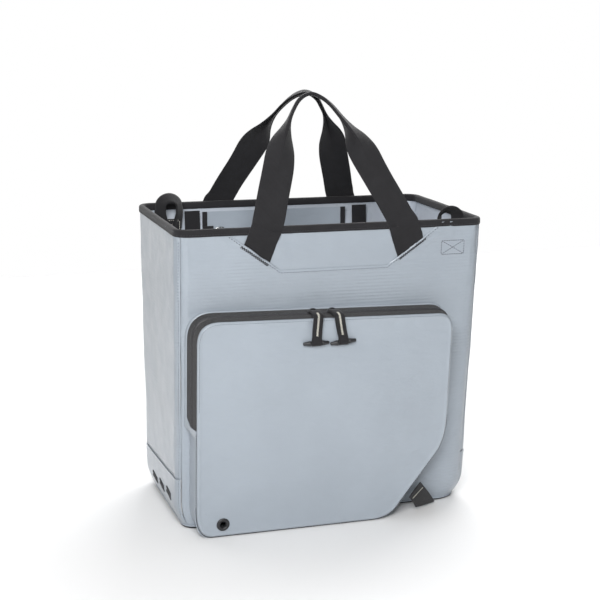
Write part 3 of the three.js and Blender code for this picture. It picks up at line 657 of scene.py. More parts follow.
def surface_point(part, share, z, extra):
    """A point of the fabric, which is drawn in at the vertical seams and lies flat at the floor."""
    place, direction = outline_point(part, share, z)
    along = np.array([-direction[1], direction[0], 0])
    out = relief(part, float(place @ along), z) + seam_dip(min(share, 3 - share) * HALF_CORNER_LENGTH)
    return place + direction * (out + extra(place, z)) * min(1.0, z / FLAT_FOOT)


def wall_grid(part, shares_at, heights, extra):
    """Points over a wall: shares_at gives each row's shares, and extra how far each point is lifted."""
    return np.array([[surface_point(part, share, z, extra) for share in shares_at(z)] for z in heights])


def even(a, b, step):
    return list(np.linspace(a, b, max(2, int(round(abs(b - a) / step)) + 1)))


def runs(first, *others):
    """Even numbers over runs that join, each given as its start, its end and its count."""
    numbers = list(np.linspace(*first))
    for run in others:
        numbers += list(np.linspace(*run))[1:]
    return numbers


def yoke_edge(z):
    return YOKE_HALF + YOKE_SLOPE * max(0.0, z - YOKE_Z)


def hem(place, z):
    """The folded edge of the main panel round the yoke, raised most where a handle's foot runs under it."""
    x = abs(place[0])
    slant = (x - yoke_edge(z)) / math.hypot(1, YOKE_SLOPE) if z > YOKE_Z else 1e9
    below = YOKE_Z - z if x < YOKE_HALF else math.hypot(x - YOKE_HALF, max(0, YOKE_Z - z))
    distance = min(slant if slant >= 0 else 1e9, below if z <= YOKE_Z else 1e9)
    leg = LEG_X + LEG_LEAN * (HEIGHT - z)
    near_leg = max(0.0, 1 - max(0.0, abs(x - leg) - 22) / 10)
    under_rim = clamp((PANEL_TOP - 6 - z) / 12)
    lift = (0.8 + (SEAM_LIFT - 0.8) * near_leg) * under_rim
    ridge = 0.7 * math.exp(-((distance - 11) / 2.4) ** 2) if distance < 30 else 0.0
    return lift * max(0.0, 1 - distance / 8) ** 1.5 + ridge * under_rim


def wall_heights(low, high, step=4.5):
    levels = [low]
    if low < EDGE_HEIGHT:
        levels = [z for z in (0, 1.5, 3.5, 6, 9, 13, 18, 24, 30, EDGE_HEIGHT) if z >= low]
    return levels + even(levels[-1], high, step)[1:]


def merged(name, grids, thickness, material, body):
    """Several slabs side by side as one closed piece: the outer and inner surfaces share their edges."""
    points, faces, index = [], [], {}

    def add(p):
        key = tuple(np.round(p, 3))
        if key not in index:
            index[key] = len(points)
            points.append(np.array(p, float))
        return index[key]

    for grid in grids:
        rows, columns = grid.shape[:2]
        ids = [[add(grid[i, j]) for j in range(columns)] for i in range(rows)]
        for i in range(rows - 1):
            for j in range(columns - 1):
                faces.append((ids[i][j], ids[i][j + 1], ids[i + 1][j + 1], ids[i + 1][j]))
    made = make_object(name, points, faces, material, body)
    solid = made.modifiers.new("Thickness", "SOLIDIFY")
    solid.thickness = thickness * MM
    solid.offset = -1
    return made


def add_front_or_back(part):
    """The main panel and the yoke let into it. The back is built like the front."""
    def between_seams(z, beyond, count):
        ends = (straight_share(part, side * (yoke_edge(z) + beyond), z) for side in (-1, 1))
        return list(np.linspace(*ends, count))

    def side_shares(z, side):
        seam = straight_share(part, side * yoke_edge(z), z)
        if side < 0:
            return HALF_CORNER[:-1] + list(np.linspace(1, seam, 24))
        return list(np.linspace(seam, 2, 24)) + [2 + s for s in HALF_CORNER[1:]]

    low_levels = wall_heights(0, YOKE_Z)
    high_levels = even(YOKE_Z, PANEL_TOP, 4)
    grids = [wall_grid(part, lambda z: side_shares(z, -1), low_levels + high_levels[1:], hem),
             wall_grid(part, lambda z: between_seams(z, 0, 34), low_levels, hem),
             wall_grid(part, lambda z: side_shares(z, 1), low_levels + high_levels[1:], hem)]
    panel = merged(f"body_{part}_panel", grids, SHELL, SHELL_FABRIC, "bag")
    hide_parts(f"shell_{part}")

    yoke_levels = [YOKE_Z - 6, YOKE_Z - 3, *high_levels]
    grid = wall_grid(part, lambda z: between_seams(z, 6, 40), yoke_levels, lambda place, z: -0.4)
    outward = (0, -1, 0) if part == "front" else (0, 1, 0)
    yoke = slab(f"body_{part}_yoke", grid, SHELL * 0.6, PLAIN_FABRIC, "bag", outward)
    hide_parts(f"shell_{part}_yoke")
    return panel, yoke


def wrap_top(y):
    return mix(WRAP_FRONT_Z, WRAP_BACK_Z, (y + BASE_HALF_DEPTH) / (2 * BASE_HALF_DEPTH))


def add_side(part):
    """A side panel and, below its seam, the part of the base fabric that wraps up the side."""
    shares = HALF_CORNER[:-1] + list(np.linspace(1, 2, 38)) + [2 + s for s in HALF_CORNER[1:]]
    outward = (1, 0, 0) if part == "right" else (-1, 0, 0)
    body = []
    for name, fabric in (("panel", SHELL_FABRIC), ("wrap", PLAIN_FABRIC)):
        above = name == "panel"
        rows = []
        for level in np.linspace(0, 1, 76 if above else 17):
            row = []
            for share in shares:
                seam = wrap_top(outline_point(part, share, 60)[0][1])
                z = mix(seam, PANEL_TOP, level) if above else mix(0, seam, level ** 1.3)
                to_seam = abs(z - seam)
                lift = seam_dip(to_seam, 1.0, 4.0) if above else 0.5 - seam_dip(to_seam, 0.3, 3.0)
                row.append(surface_point(part, share, z, lambda place, z: lift))
            rows.append(row)
        made = slab(f"body_{part}_{name}", np.array(rows), SHELL, fabric, "bag", outward)
        body.append(made)
    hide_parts(f"shell_{part}")
    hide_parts(f"shell_{part}_wrap")
    return body


def ring_points(z, out, step=6.0):
    """A closed line round the body at a height, with the same number of points at every height."""
    points = []
    for part in ("right", "back", "left", "front"):
        straight = 2 * (BASE_HALF_WIDTH if part in ("front", "back") else BASE_HALF_DEPTH)
        shares = list(np.linspace(0, 1, 8)) + list(np.linspace(1, 2, int(straight / step)))[1:] + \
            list(np.linspace(2, 3, 8))[1:-1]
        points += [outline_point(part, share, z, out)[0] for share in shares]
    return np.array(points)


def add_base():
    """The floor's fabric, with a welt and a thin black piping round its edge, which also serves as painted
    contact shadow.
    """
    # Along the left side the black piping is painted shade: a dark line standing in for the contact shadow.
    for name, z, out, radius, fabric, slot in (("welt", 3.0, 0.6, 1.1, PLAIN_FABRIC, "shell_fabric"),
                                               ("piping", 1.0, 0.9, 0.8, BINDING_TAPE, "binding")):
        line = ring_points(z, out, 4.0)
        edge = tube(f"body_base_{name}", line, radius, fabric, "bag", 8, closed=True)
        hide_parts("shell_base")
    outer = ring_points(0.0, -1.0)
    rings = [outer * (k, k, 1) + (0, 0, 1 - k) for k in np.linspace(1, 0.02, 14)]
    grid = np.array(rings)
    closed = np.concatenate([grid, grid[:, :1]], axis=1)
    base = slab("body_base", closed, 0.9, PLAIN_FABRIC, "bag", (0, 0, -1))
    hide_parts("shell_base")
    return base


# ------------------------------------------------------------------ lining and rim
def lining_inset(z):
    squeeze = clamp((z - SQUEEZE_START) / (HEIGHT - 8 - SQUEEZE_START))
    return mix(LINING_INSET, BINDING_IN - 1.8, ease(squeeze))


def add_foam():
    """The foam in the walls, thinned towards the rim."""
    for part in PART_START:
        shares = runs((0.04, 1, 7), (1, 2, 24), (2, 2.96, 7))
        faces = []
        for depth in (0.0, 1.0):
            rows = []
            for z in even(14.5, PANEL_TOP - 1, 12):
                swell = [0.25 * soft(share * 40, z, 47.0 + PART_START[part], 40) for share in shares]
                inset = mix(SHELL + 0.5, lining_inset(z) - 0.4, depth)
                rows.append([outline_point(part, share, z, -inset + w)[0] for share, w in zip(shares, swell)])
            faces.append(np.array(rows))
        outward = {"front": (0, -1, 0), "right": (1, 0, 0), "back": (0, 1, 0), "left": (-1, 0, 0)}[part]
        made = slab(f"wall_foam_{part}", faces[0], 1.0, FOAM, "bag", outward, inner=faces[1])
        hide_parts(f"foam_{part}")


def add_lining():
    """Four wall cloths and a floor cloth, a little loose over the foam."""
    pieces = {}
    floor_z = 14.0
    for part in PART_START:
        shares = runs((0, 1, 7), (1, 2, 30), (2, 3, 7))
        rows = []
        for z in [floor_z, 18, 24, *even(32, PANEL_TOP - 1, 7)]:
            row = []
            for share in shares:
                place, direction = outline_point(part, share, z)
                along = np.array([-direction[1], direction[0], 0])
                swell = 0.9 * soft(float(place @ along), z, 31.0 + PART_START[part], 60)
                swell += 0.3 * soft(float(place @ along), z, 37.0, 19)
                inset = lining_inset(z) + (1.0 + swell) * min(1, (HEIGHT - z) / 40)
                place, _ = outline_point(part, share, z, -inset)
                row.append(place)
            rows.append(row)
        inward = {"front": (0, 1, 0), "right": (-1, 0, 0), "back": (0, -1, 0), "left": (1, 0, 0)}[part]
        made = slab(f"lining_{part}", np.array(rows), LINING, LINING_FILM, "bag", inward)
        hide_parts(f"liner_{part}")
        pieces[part] = made
    ring = ring_points(floor_z, -LINING_INSET - 0.5)
    rows = []
    for k in np.linspace(1, 0.02, 16):
        ring_row = ring * (k, k, 1)
        swell = [0.5 * soft(p[0], p[1], 41.0, 55) * (1 - k ** 4) for p in ring_row]
        ring_row[:, 2] += np.array(swell)
        rows.append(ring_row)
    grid = np.array(rows)
    closed = np.concatenate([grid, grid[:, :1]], axis=1)
    floor = slab("lining_floor", closed, LINING, LINING_FILM, "bag", (0, 0, 1))
    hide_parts("liner_base")
    return pieces


def add_binding():
    """One folded tape round the whole rim, lofted as a closed ring."""
    top, low = HEIGHT, HEIGHT - BINDING_HEIGHT
    outer, inner = BINDING_OUT, -BINDING_IN
    thick = 1.1
    profile = [(outer - thick, low + 0.3), (outer - 0.3, low), (outer, low + 0.6), (outer + 0.1, low + 3),
               (outer, top - 3), (outer - 0.7, top - 1.1), (outer - 2.2, top - 0.15), (outer - 4.2, top),
               (inner + 2.6, top - 0.1), (inner + 0.8, top - 1.0), (inner, top - 3), (inner - 0.1, low + 3),
               (inner, low + 0.6), (inner + 0.3, low), (inner + thick, low + 0.3),
               (inner + thick, top - 3.2), (outer - thick, top - 3.2)]
    around = path_lengths(np.array([(a, b, 0) for a, b in profile]))
    rings = np.array([ring_points(z, out, 4.0) for out, z in profile])
    sections = np.swapaxes(rings, 0, 1)
    length = path_lengths(sections[:, 4])
    for i, s in enumerate(length):
        wave = 0.35 * soft(s, 0, 51.0, 60)
        sections[i, :, 2] += wave * (sections[i, :, 2] - low) / BINDING_HEIGHT
    uv = [(around[j], length[i]) for i in range(len(sections)) for j in range(len(profile))]
    made = loft("rim_binding", sections, BINDING_TAPE, "bag", uv, closed=True)
    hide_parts(*[f"rim_binding_{part}" for part in PART_START])
    return made


# ------------------------------------------------------------------ front pocket
def pocket_top(x):
    return POCKET_TOP_LEFT + POCKET_TOP_SLOPE * (x - POCKET_CORNERS["top left"][0])


def quadratic(a, b, c, steps=12):
    """Points along a curve from a to c that heads for b."""
    t = np.linspace(0, 1, steps)[:, None]
    return list((1 - t) ** 2 * np.array(a) + 2 * t * (1 - t) * np.array(b) + t * t * np.array(c))


def zip_line():
    """The pocket's outline in x and z where the zip runs: up the left side, over the top, down the right."""
    (left_x, left_z), (right_x, right_z) = POCKET_CORNERS["top left"], POCKET_CORNERS["top right"]
    path = [np.array((POCKET_LEFT, POCKET_SPLIT_Z))]
    path += quadratic((POCKET_LEFT, left_z), (POCKET_LEFT, pocket_top(left_x)), (left_x, pocket_top(left_x)))
    path += quadratic((right_x, pocket_top(right_x)), (POCKET_RIGHT, pocket_top(POCKET_RIGHT)),
                      (POCKET_RIGHT, right_z))
    path.append(np.array((POCKET_RIGHT - POCKET_WAIST, POCKET_SPLIT_Z)))
    return np.array(path)


def foot_line():
    """The rest of the outline: down to the slanted corner, along the bottom and up to the zip's left end."""
    top, foot, left = SLANT_TOP, SLANT_FOOT, POCKET_CORNERS["bottom left"]
    right = POCKET_RIGHT - POCKET_WAIST
    path = quadratic((right, POCKET_SPLIT_Z), (right, top["bend z"]), (top["x"], top["z"]))
    path += quadratic((foot["x"], foot["z"]), (foot["bend x"], POCKET_BOTTOM), (foot["end x"], POCKET_BOTTOM))
    path += quadratic((left[0], POCKET_BOTTOM), (POCKET_LEFT, POCKET_BOTTOM), (POCKET_LEFT, left[1]))
    path.append(np.array((POCKET_LEFT, POCKET_SPLIT_Z)))
    return np.array(path)


def resample(path, step, closed=False):
    path = np.asarray(path, float)
    if closed and np.linalg.norm(path[0] - path[-1]) > 1e-6:
        path = np.vstack([path, path[:1]])
    length = path_lengths(path)
    at = np.linspace(0, length[-1], max(3, int(round(length[-1] / step)) + 1))
    even_path = np.stack([np.interp(at, length, path[:, k]) for k in range(path.shape[1])], axis=1)
    return even_path[:-1] if closed else even_path


def outwards(path, closed=False):
    """Outward directions, in x and z, along an outline that runs clockwise seen from the front."""
    if closed:
        tangent = np.roll(path, -1, axis=0) - np.roll(path, 1, axis=0)
    else:
        tangent = np.gradient(path, axis=0)
    tangent = unit(tangent)
    for _ in range(2):  # evens out the directions where a rounding starts
        if closed:
            tangent = unit(np.roll(tangent, 1, axis=0) + tangent * 2 + np.roll(tangent, -1, axis=0))
        else:
            tangent[1:-1] = unit(tangent[:-2] + tangent[1:-1] * 2 + tangent[2:])
    return np.stack([-tangent[:, 1], tangent[:, 0]], axis=1)


def front_y(z, offset):
    return -(BASE_HALF_DEPTH + FRONT_SLOPE * np.asarray(z) + offset)


def on_front(plane_points, offset):
    """Bag-frame points from x and z, at an offset out from the body's front."""
    p = np.asarray(plane_points, float)
    return np.stack([p[:, 0], front_y(p[:, 1], offset), p[:, 1]], axis=1)


def band(name, path, profile, material, body):
    """A strip along the pocket's outline; profile pairs an offset from the body and a height off it."""
    outward = outwards(path)
    length = path_lengths(path)
    sections, uv = [], []
    around = path_lengths(np.array([(offset, 0) for offset, _ in profile]))
    for i, (p, o) in enumerate(zip(path, outward)):
        ring = []
        for j, (offset, height) in enumerate(profile):
            h = height(p, length[i]) if callable(height) else height
            place = p + o * h
            ring.append((place[0], front_y(place[1], offset), place[1]))
            uv.append((around[j], length[i]))
        sections.append(ring)
    return loft(name, sections, material, body, uv)


def band_height(offset, depth=POCKET_DEPTH):
    """The gusset falls forwards: its edge on the body stands this far outside the pocket's front."""
    return mix(BAND_RISE, 0.0, clamp(offset / (depth - FRONT_ROLL)))


def pocket_relief(distance, along, x, z):
    """How far the pocket's front stands out: full in the middle and puckered along its seams."""
    full = 2.6 * (1 - math.exp(-(distance / 55) ** 2))
    slow = 1.6 * soft(x, z * 1.4, 61.0, 120) * min(1, distance / 30)
    pucker = 0.9 * math.exp(-(distance / 18) ** 2) * soft(along, distance * 0.3, 67.0, 12)
    crease = 0.4 * soft(x, z, 71.0, 26) * min(1, distance / 10)
    return full + slow + pucker + crease


def add_pocket_front():
    """One cloth from the zip down to the base seam, cut for the eyelet."""
    loop = resample(np.vstack([zip_line()[:-1], foot_line()[:-1]]), 3.0, closed=True)
    outward = outwards(loop, closed=True)
    count = len(loop)
    insets = (0.0, 0.35, 1.0, 1.9, 3.0, 4.4, 6.0, 8.0)
    plane, faces = [], []
    for inset in insets:
        plane += list(loop - outward * inset)
    faces += [tuple(reversed(f)) for f in grid_faces(len(insets), count, 0, False, True)]
    inner = [tuple(p) for p in plane[-count:]]
    spacing = 4.6
    hole = [(EYELET_X + EYELET_HOLE * math.cos(a), EYELET_Z + EYELET_HOLE * math.sin(a))
            for a in np.linspace(0, 2 * math.pi, 20, endpoint=False)]
    inner_array = np.array(inner)
    filler = []
    for j, z in enumerate(np.arange(POCKET_BOTTOM, POCKET_TOP_LEFT, spacing * 0.87)):
        for x in np.arange(POCKET_LEFT + (j % 2) * spacing / 2, POCKET_RIGHT, spacing):
            clear = np.min(np.hypot(*(inner_array - (x, z)).T)) > 2.4
            off_eyelet = math.hypot(x - EYELET_X, z - EYELET_Z) > EYELET_HOLE + 2
            if clear and off_eyelet and inside(x, z, inner_array):
                filler.append((x, z))
    knots = [Vector(p) for p in inner + hole + filler]
    edges = [(i, (i + 1) % count) for i in range(count)]
    edges += [(count + i, count + (i + 1) % len(hole)) for i in range(len(hole))]
    placed, _, triangles, _, _, _ = delaunay_2d_cdt(knots, edges, [], 1, 1e-4)
    first = (len(insets) - 1) * count
    plane += [tuple(p) for p in placed[count:]]
    for triangle in triangles:
        middle = sum((placed[i] for i in triangle), Vector((0, 0))) / 3
        if math.hypot(middle.x - EYELET_X, middle.y - EYELET_Z) > EYELET_HOLE:
            faces.append(tuple(first + i for i in triangle))
    plane = np.array([tuple(p) for p in plane])
    along = path_lengths(np.vstack([loop, loop[:1]]))
    points = []
    for x, z in plane:
        gaps = np.hypot(*(loop - (x, z)).T)
        nearest = int(np.argmin(gaps))
        distance = float(gaps[nearest])
        roll = FRONT_ROLL - min(distance, FRONT_ROLL)
        offset = POCKET_DEPTH - FRONT_ROLL + math.sqrt(FRONT_ROLL ** 2 - roll ** 2)
        seam = min(1.0, distance / 4)
        eyelet = min(1.0, max(0.0, math.hypot(x - EYELET_X, z - EYELET_Z) - 6) / 14)
        offset += pocket_relief(distance, along[nearest], x, z) * seam * eyelet
        offset += 0.7 * math.exp(-((distance - 2.6) / 1.5) ** 2)  # the folded edge stands proud of its seam
        points.append((x, float(front_y(z, offset)), z))
    front = make_object("pocket_front", points, faces, POCKET_FABRIC, None)
    turn_towards(front, (0, -1, 0))
    solid = front.modifiers.new("Thickness", "SOLIDIFY")
    solid.thickness = SHELL * MM
    solid.offset = -1
    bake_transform(front)
    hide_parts("pocket_lower_panel", "pocket_flap_panel")
    return front


def inside(x, z, outline):
    """Whether a point lies inside a closed outline."""
    a, b = outline, np.roll(outline, -1, axis=0)
    crosses = (a[:, 1] > z) != (b[:, 1] > z)
    at = a[:, 0] + (z - a[:, 1]) * (b[:, 0] - a[:, 0]) / np.where(crosses, b[:, 1] - a[:, 1], 1)
    return bool(np.sum(crosses & (at > x)) % 2)


def turn_towards(made, direction):
    """Turns an open surface so that it faces direction."""
    facing = sum(p.area * p.normal.dot(Vector(direction)) for p in made.data.polygons)
    if facing < 0:
        made.data.flip_normals()


def add_gusset():
    """The fabric band below the zip, its curled ends over the zip, and the piping along the body."""
    seam = POCKET_DEPTH - FRONT_ROLL
    path = resample(foot_line(), 2.5)

    def bow(share, sag=1.3):
        return lambda p, s: -sag * math.sin(math.pi * share) + 0.5 * soft(s, share * 30, 81.0, 16)

    shares = np.linspace(0, 1, 9)
    outer = [(mix(0.4, seam, share), bow(share)) for share in shares]
    inner = [(mix(0.4, seam, share), lambda p, s, f=bow(share): f(p, s) - SHELL) for share in shares[::-1]]
    lower = band("pocket_gusset_band", path, outer + inner, PLAIN_FABRIC, "bag")
    edge = band_height(PIPING)
    profile = [(0.3, BAND_RISE - 2.4), (0.3, BAND_RISE + 0.9), (1.0, BAND_RISE + 1.5),
               (PIPING - 1.4, edge + 1.5), (PIPING - 0.2, edge + 0.8), (PIPING, edge - 2.4)]
    line = resample(zip_line(), 3.0)
    piping = band("pocket_zip_facing", line, profile, POCKET_FABRIC, "bag")
    pieces = [lower, piping, *[add_zip_end(side) for side in (-1, 1)], add_seam_allowance()]
    for piece in pieces:
        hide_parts("pocket_gusset")
    return pieces


def add_zip_end(side):
    """Fabric over the end of the zip, cut in a curve that climbs towards the body."""
    edge_x = POCKET_LEFT if side < 0 else POCKET_RIGHT - POCKET_WAIST
    seam = POCKET_DEPTH - FRONT_ROLL
    rows = []
    for share in np.linspace(0, 1, 18):
        offset = mix(0.2, seam, share)
        curve = ZIP_END_Z + ZIP_END_RISE * (1 - share) ** 3.2
        row = []
        for t in np.linspace(0, 1, 14):
            z = mix(POCKET_SPLIT_Z - 8, curve, t)
            out = band_height(offset) * clamp((z - POCKET_SPLIT_Z + 8) / 8) + 0.9
            out += 1.0 * math.exp(-((offset - ZIP_MEET) / 7) ** 2) * t - 0.9 * math.exp(-(t * 9) ** 2)
            row.append((edge_x + side * out, float(front_y(z, offset)), z))
        rows.append(row)
    name = f"pocket_{'left' if side < 0 else 'right'}_zip_end"
    return slab(name, np.array(rows), 0.9, POCKET_FABRIC, "bag", (side, 0, 0))


def add_seam_allowance():
    """The narrow welt that stands out round the lower part of the pocket's front seam."""
    path = resample(foot_line(), 2.5)
    back = POCKET_DEPTH - FRONT_ROLL - 1.6

    def stand(extra):
        def height(p, s):
            slant = clamp((POCKET_SPLIT_Z - 30 - p[1]) / 60)
            shown = slant if p[0] > 0 else clamp((60 - p[1]) / 50)
            return extra * (0.5 + 1.3 * shown) + 0.3 * soft(s, 0, 85.0, 14)
        return height

    profile = [(back - 0.7, -0.8), (back - 0.7, stand(0.9)), (back - 0.3, stand(1.2)),
               (back + 0.5, stand(1.25)), (back + 0.9, stand(0.95)), (back + 0.9, -0.8)]
    return band("pocket_seam_welt", path, profile, PLAIN_FABRIC, "bag")


def add_zip():
    """Both halves of the zip: a tape and, along the meeting edge, the back of a coil with its ridges."""
    made = []
    seam = POCKET_DEPTH - FRONT_ROLL
    path = resample(zip_line(), 1.1)
    for name, low, high, body in (("inner", PIPING - 1.0, ZIP_MEET - 0.15, "bag"),
                                  ("outer", ZIP_MEET + 0.15, seam - 0.2, "pocket_flap")):
        at = np.linspace(low, high, 7)
        tape = [(a, band_height(a) + 0.25) for a in at] + [(a, band_height(a) - 0.75) for a in at[::-1]]
        strip_made = band(f"pocket_{name}_tape", path[::3], tape, ZIP_TAPE, body)
        near, far = (high - COIL_WIDTH, high) if name == "inner" else (low + COIL_WIDTH, low)
        ridge = []
        for share in np.linspace(0, 1, 7):
            at_offset = mix(near, far, share)
            round_off = math.sin(math.pi * min(1.0, 0.12 + share * 0.78))

            def height(_, s, at_offset=at_offset, round_off=round_off):
                ripple = 0.82 + 0.18 * math.cos(2 * math.pi * s / COIL_PITCH)
                return band_height(at_offset) + 0.25 + COIL_HEIGHT * round_off * ripple
            ridge.append((at_offset, height))
        ridge += [(far, band_height(far) - 0.4), (near, band_height(near) - 0.4)]
        coil = band(f"pocket_{name}_coil", resample(zip_line(), COIL_PITCH / 4), ridge, COIL_PLASTIC, body)
        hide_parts(f"pocket_{name}_stringer")
        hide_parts(f"pocket_{name}_stringer")
        made += [strip_made, coil]
    return made


def tube(name, path, radius, material, body, sides=10, closed=False):
    """A round bar along a path."""
    path = np.asarray(path, float)
    if closed:
        tangents = unit(np.roll(path, -1, axis=0) - np.roll(path, 1, axis=0))
    else:
        tangents = unit(np.gradient(path, axis=0))
    helper = np.array((0.0, 0.3, 1.0)) if abs(tangents[0][2]) < 0.9 else np.array((1.0, 0.2, 0.0))
    sections = []
    for p, t in zip(path, tangents):
        side = unit(np.cross(t, helper))
        helper = np.cross(side, t)
        sections.append([p + (side * math.cos(a) + helper * math.sin(a)) * radius
                         for a in np.linspace(0, 2 * math.pi, sides, endpoint=False)])
    return loft(name, sections, material, body, closed=closed)


def lathe(name, profile, origin, axis, material, body, steps=36, closed=False):
    """A turned piece: profile pairs a radius and a distance along the axis."""
    axis = unit(axis)
    side = unit(np.cross(axis, (0.0, 0.1, 1.0)))
    other = np.cross(axis, side)
    rings = [[np.array(origin) + axis * along + (side * math.cos(a) + other * math.sin(a)) * radius
              for a in np.linspace(0, 2 * math.pi, steps, endpoint=False)] for radius, along in profile]
    return loft(name, rings, material, body, closed=closed)


def add_eyelet():
    """The drain eyelet low on the pocket, with its washer behind the fabric."""
    origin = (EYELET_X, float(front_y(EYELET_Z, POCKET_DEPTH)), EYELET_Z)
    flange = [(4.0, -3.6), (4.0, 0.4), (4.5, 1.2), (5.6, 1.7), (6.8, 1.6), (7.9, 1.1), (8.5, 0.3), (8.4, 0.0),
              (5.2, 0.0), (5.0, -3.6)]
    washer = [(4.9, -4.9), (5.4, -5.3), (8.0, -5.2), (8.5, -4.7), (8.5, -3.8), (4.9, -3.7)]
    axis = (0, -1, -FRONT_SLOPE)
    for name, profile, node in (("drain_eyelet", flange, "drain_grommet"),
                                ("drain_eyelet_washer", washer, "drain_grommet_washer")):
        ring = lathe(name, profile, origin, axis, BLACK_PLASTIC, "bag", closed=True)
        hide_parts(node)


def rounded_box_sections(stations):
    """Sections across X: each station is x, half width in Y, low and high in Z, and a corner radius."""
    sections = []
    for x, half, low, high, radius in stations:
        ring = []
        for cy, cz, start in ((half, high, 0), (-half, high, 90), (-half, low, 180), (half, low, 270)):
            centre = (cy - math.copysign(radius, cy), cz - radius if cz == high else cz + radius)
            for turn in (0, 30, 60, 90):
                a = math.radians(start + turn)
                ring.append((x, centre[0] + radius * math.cos(a), centre[1] + radius * math.sin(a)))
        sections.append(ring)
    return np.array(sections)


def add_pull(side, slider_x, toggle_x, tilt):
    """A slider, its doubled webbing pull wrapped round a toggle, and the zigzag down the pull."""
    top = pocket_top(slider_x) + band_height(ZIP_MEET) + 1.4
    centre = np.array((slider_x, float(front_y(top, ZIP_MEET)), top))
    plates = [(-6.2, 2.6, 0.2, 1.4, 0.5), (-5.0, 4.2, 0, 2.0, 0.6), (-1.5, 5.2, 0, 2.2, 0.7),
              (4.6, 5.0, 0, 2.2, 0.7), (5.8, 4.2, 0.2, 1.7, 0.5)]
    slider = loft(f"{side}_slider_plate", rounded_box_sections(plates) + centre, BLACK_PLASTIC,
                  f"{side}_slider")
    arch = [(-4.2, 0, 1.4), (-4.0, 0, 3.2), (-2.2, 0, 4.4), (0, 0, 4.7), (2.2, 0, 4.4), (4.0, 0, 3.2),
            (4.2, 0, 1.4)]
    bridge = tube(f"{side}_slider_bridge", smooth_path(arch, 20) + centre, 1.15, BLACK_PLASTIC,
                  f"{side}_slider")
    for piece in (slider, bridge):
        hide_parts(f"pocket_{side}_slider")

    lowest = pocket_top(slider_x) + 1.7 - PULL_DROP
    toggle_z = lowest - 3.6
    wrap = TOGGLE_WAIST + 0.8
    toggle_y, top_y, low_y, middle_y = (float(front_y(z, TOGGLE_OFFSET))
                                        for z in (toggle_z, top, lowest, lowest + 12))
    start_y, height = centre[1] - 4.8, top + 3.2
    # Y, Z and the share of the way from the slider to the toggle, down the front, round it and up again
    front_run = [(start_y, height + 0.7, 0), (start_y - 7, height + 0.9, 0.03),
                 (top_y - 0.2, height - 1.0, 0.14), (top_y - 2.0, height - 5.5, 0.25),
                 (middle_y - 1.4, lowest + 12, 0.65), (low_y - 2.3, lowest + 1.5, 0.93)]
    round_run = [(toggle_y - wrap * math.cos(a), toggle_z - wrap * math.sin(a), 1.0)
                 for a in np.radians((0, 40, 80, 120, 160, 185))]
    back_run = [(low_y - 0.9, lowest + 2.5, 0.93), (middle_y - 0.1, lowest + 12, 0.65),
                (top_y - 0.6, height - 6.0, 0.25), (top_y + 1.0, height - 2.3, 0.14),
                (start_y - 6.6, height - 0.5, 0.03), (start_y, height - 0.5, 0)]
    route = [(mix(slider_x, toggle_x, share), y, z) for y, z, share in front_run + round_run + back_run]
    line = smooth_path(route, 110)
    tangents = unit(np.gradient(line, axis=0))
    normals = unit(np.cross(tangents, (1.0, 0, 0)))
    pull = strip(f"{side}_pull_loop", line, normals, PULL_WIDTH, 1.05, BLACK_WEBBING, f"{side}_pull")
    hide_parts(f"{side}_pull_webbing")

    along = path_lengths(line)
    front_length = path_lengths(np.array(smooth_path(route[:6], 60)))[-1]
    chosen = (along > 14) & (along < front_length - 3.5)
    outward = np.array([n if n[1] < 0 or n[2] > 0.5 else -n for n in normals])
    if np.sum(outward[chosen][:, 1]) > 0:
        outward = -outward
    thread = Thread()
    thread.zigzag(line[chosen] + outward[chosen] * 0.62, outward[chosen], 3.0, 1.0, 0.36)
    sewn = thread.finish(f"{side}_pull_zigzag", LIGHT_THREAD, f"{side}_pull")
    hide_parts(f"{side}_pull_webbing")

    tip = TOGGLE_LENGTH / 2
    half = [(1.2, tip), (1.9, tip - 0.4), (2.2, tip - 1.5), (2.3, tip - 3.2), (2.9, tip - 6), (3.3, 9.0),
            (3.35, 7.6), (3.0, 7.0), (TOGGLE_WAIST, 6.8)]
    profile = half + [(r, -a) for r, a in reversed(half)]
    axis = (math.cos(tilt), 0, math.sin(tilt))
    toggle = lathe(f"{side}_toggle", profile, (toggle_x, toggle_y, toggle_z), axis, BLACK_PLASTIC,
                   f"{side}_pull", steps=20)
    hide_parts(f"{side}_pull_toggle")


def add_corner_tab():
    """Webbing from under the pocket's slanted seam down to the base."""
    (a0, b0), (a1, b1) = [np.array(pair, float) for pair in (CORNER_TAB_UPPER, CORNER_TAB_LOWER)]
    push = unit((0.5, -0.75, -0.4))
    sections, uv = [], []
    profile = rounded_strip_section(1.0, 1.0)
    for t in np.linspace(0, 1, 14):
        a, b = mix(a0, a1, t), mix(b0, b1, t)
        bow = push * (0.8 + 2.4 * math.sin(math.pi * t))
        width = np.linalg.norm(b - a)
        ring = []
        for w, h in profile:
            across = w + 0.5
            ring.append(a + (b - a) * across + bow + push * h * 1.8)
            uv.append((across * width, t * 40))
        sections.append(ring)
    made = loft("corner_tab_webbing", sections, BLACK_WEBBING, "bag", uv)
    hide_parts("corner_tab")
    thread = Thread()
    t = 0.16
    places = np.linspace(mix(a0, a1, t), mix(b0, b1, t), 30)
    places = (places + push * (0.8 + 2.4 * math.sin(math.pi * t) + 1.05))[3:-3]
    thread.zigzag(places, np.tile(push, (len(places), 1)), 2.4, 0.9, 0.28)
    sewn = thread.finish("corner_tab_zigzag", LIGHT_THREAD, "bag")
    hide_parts("corner_tab")
    return made


# ------------------------------------------------------------------ handles
def foot_lift(z):
    """How far a handle's foot lies off the yoke: it climbs over the rim binding."""
    over_rim = clamp((z - 364) / 13)
    return mix(0.6, 2.9, ease(over_rim))


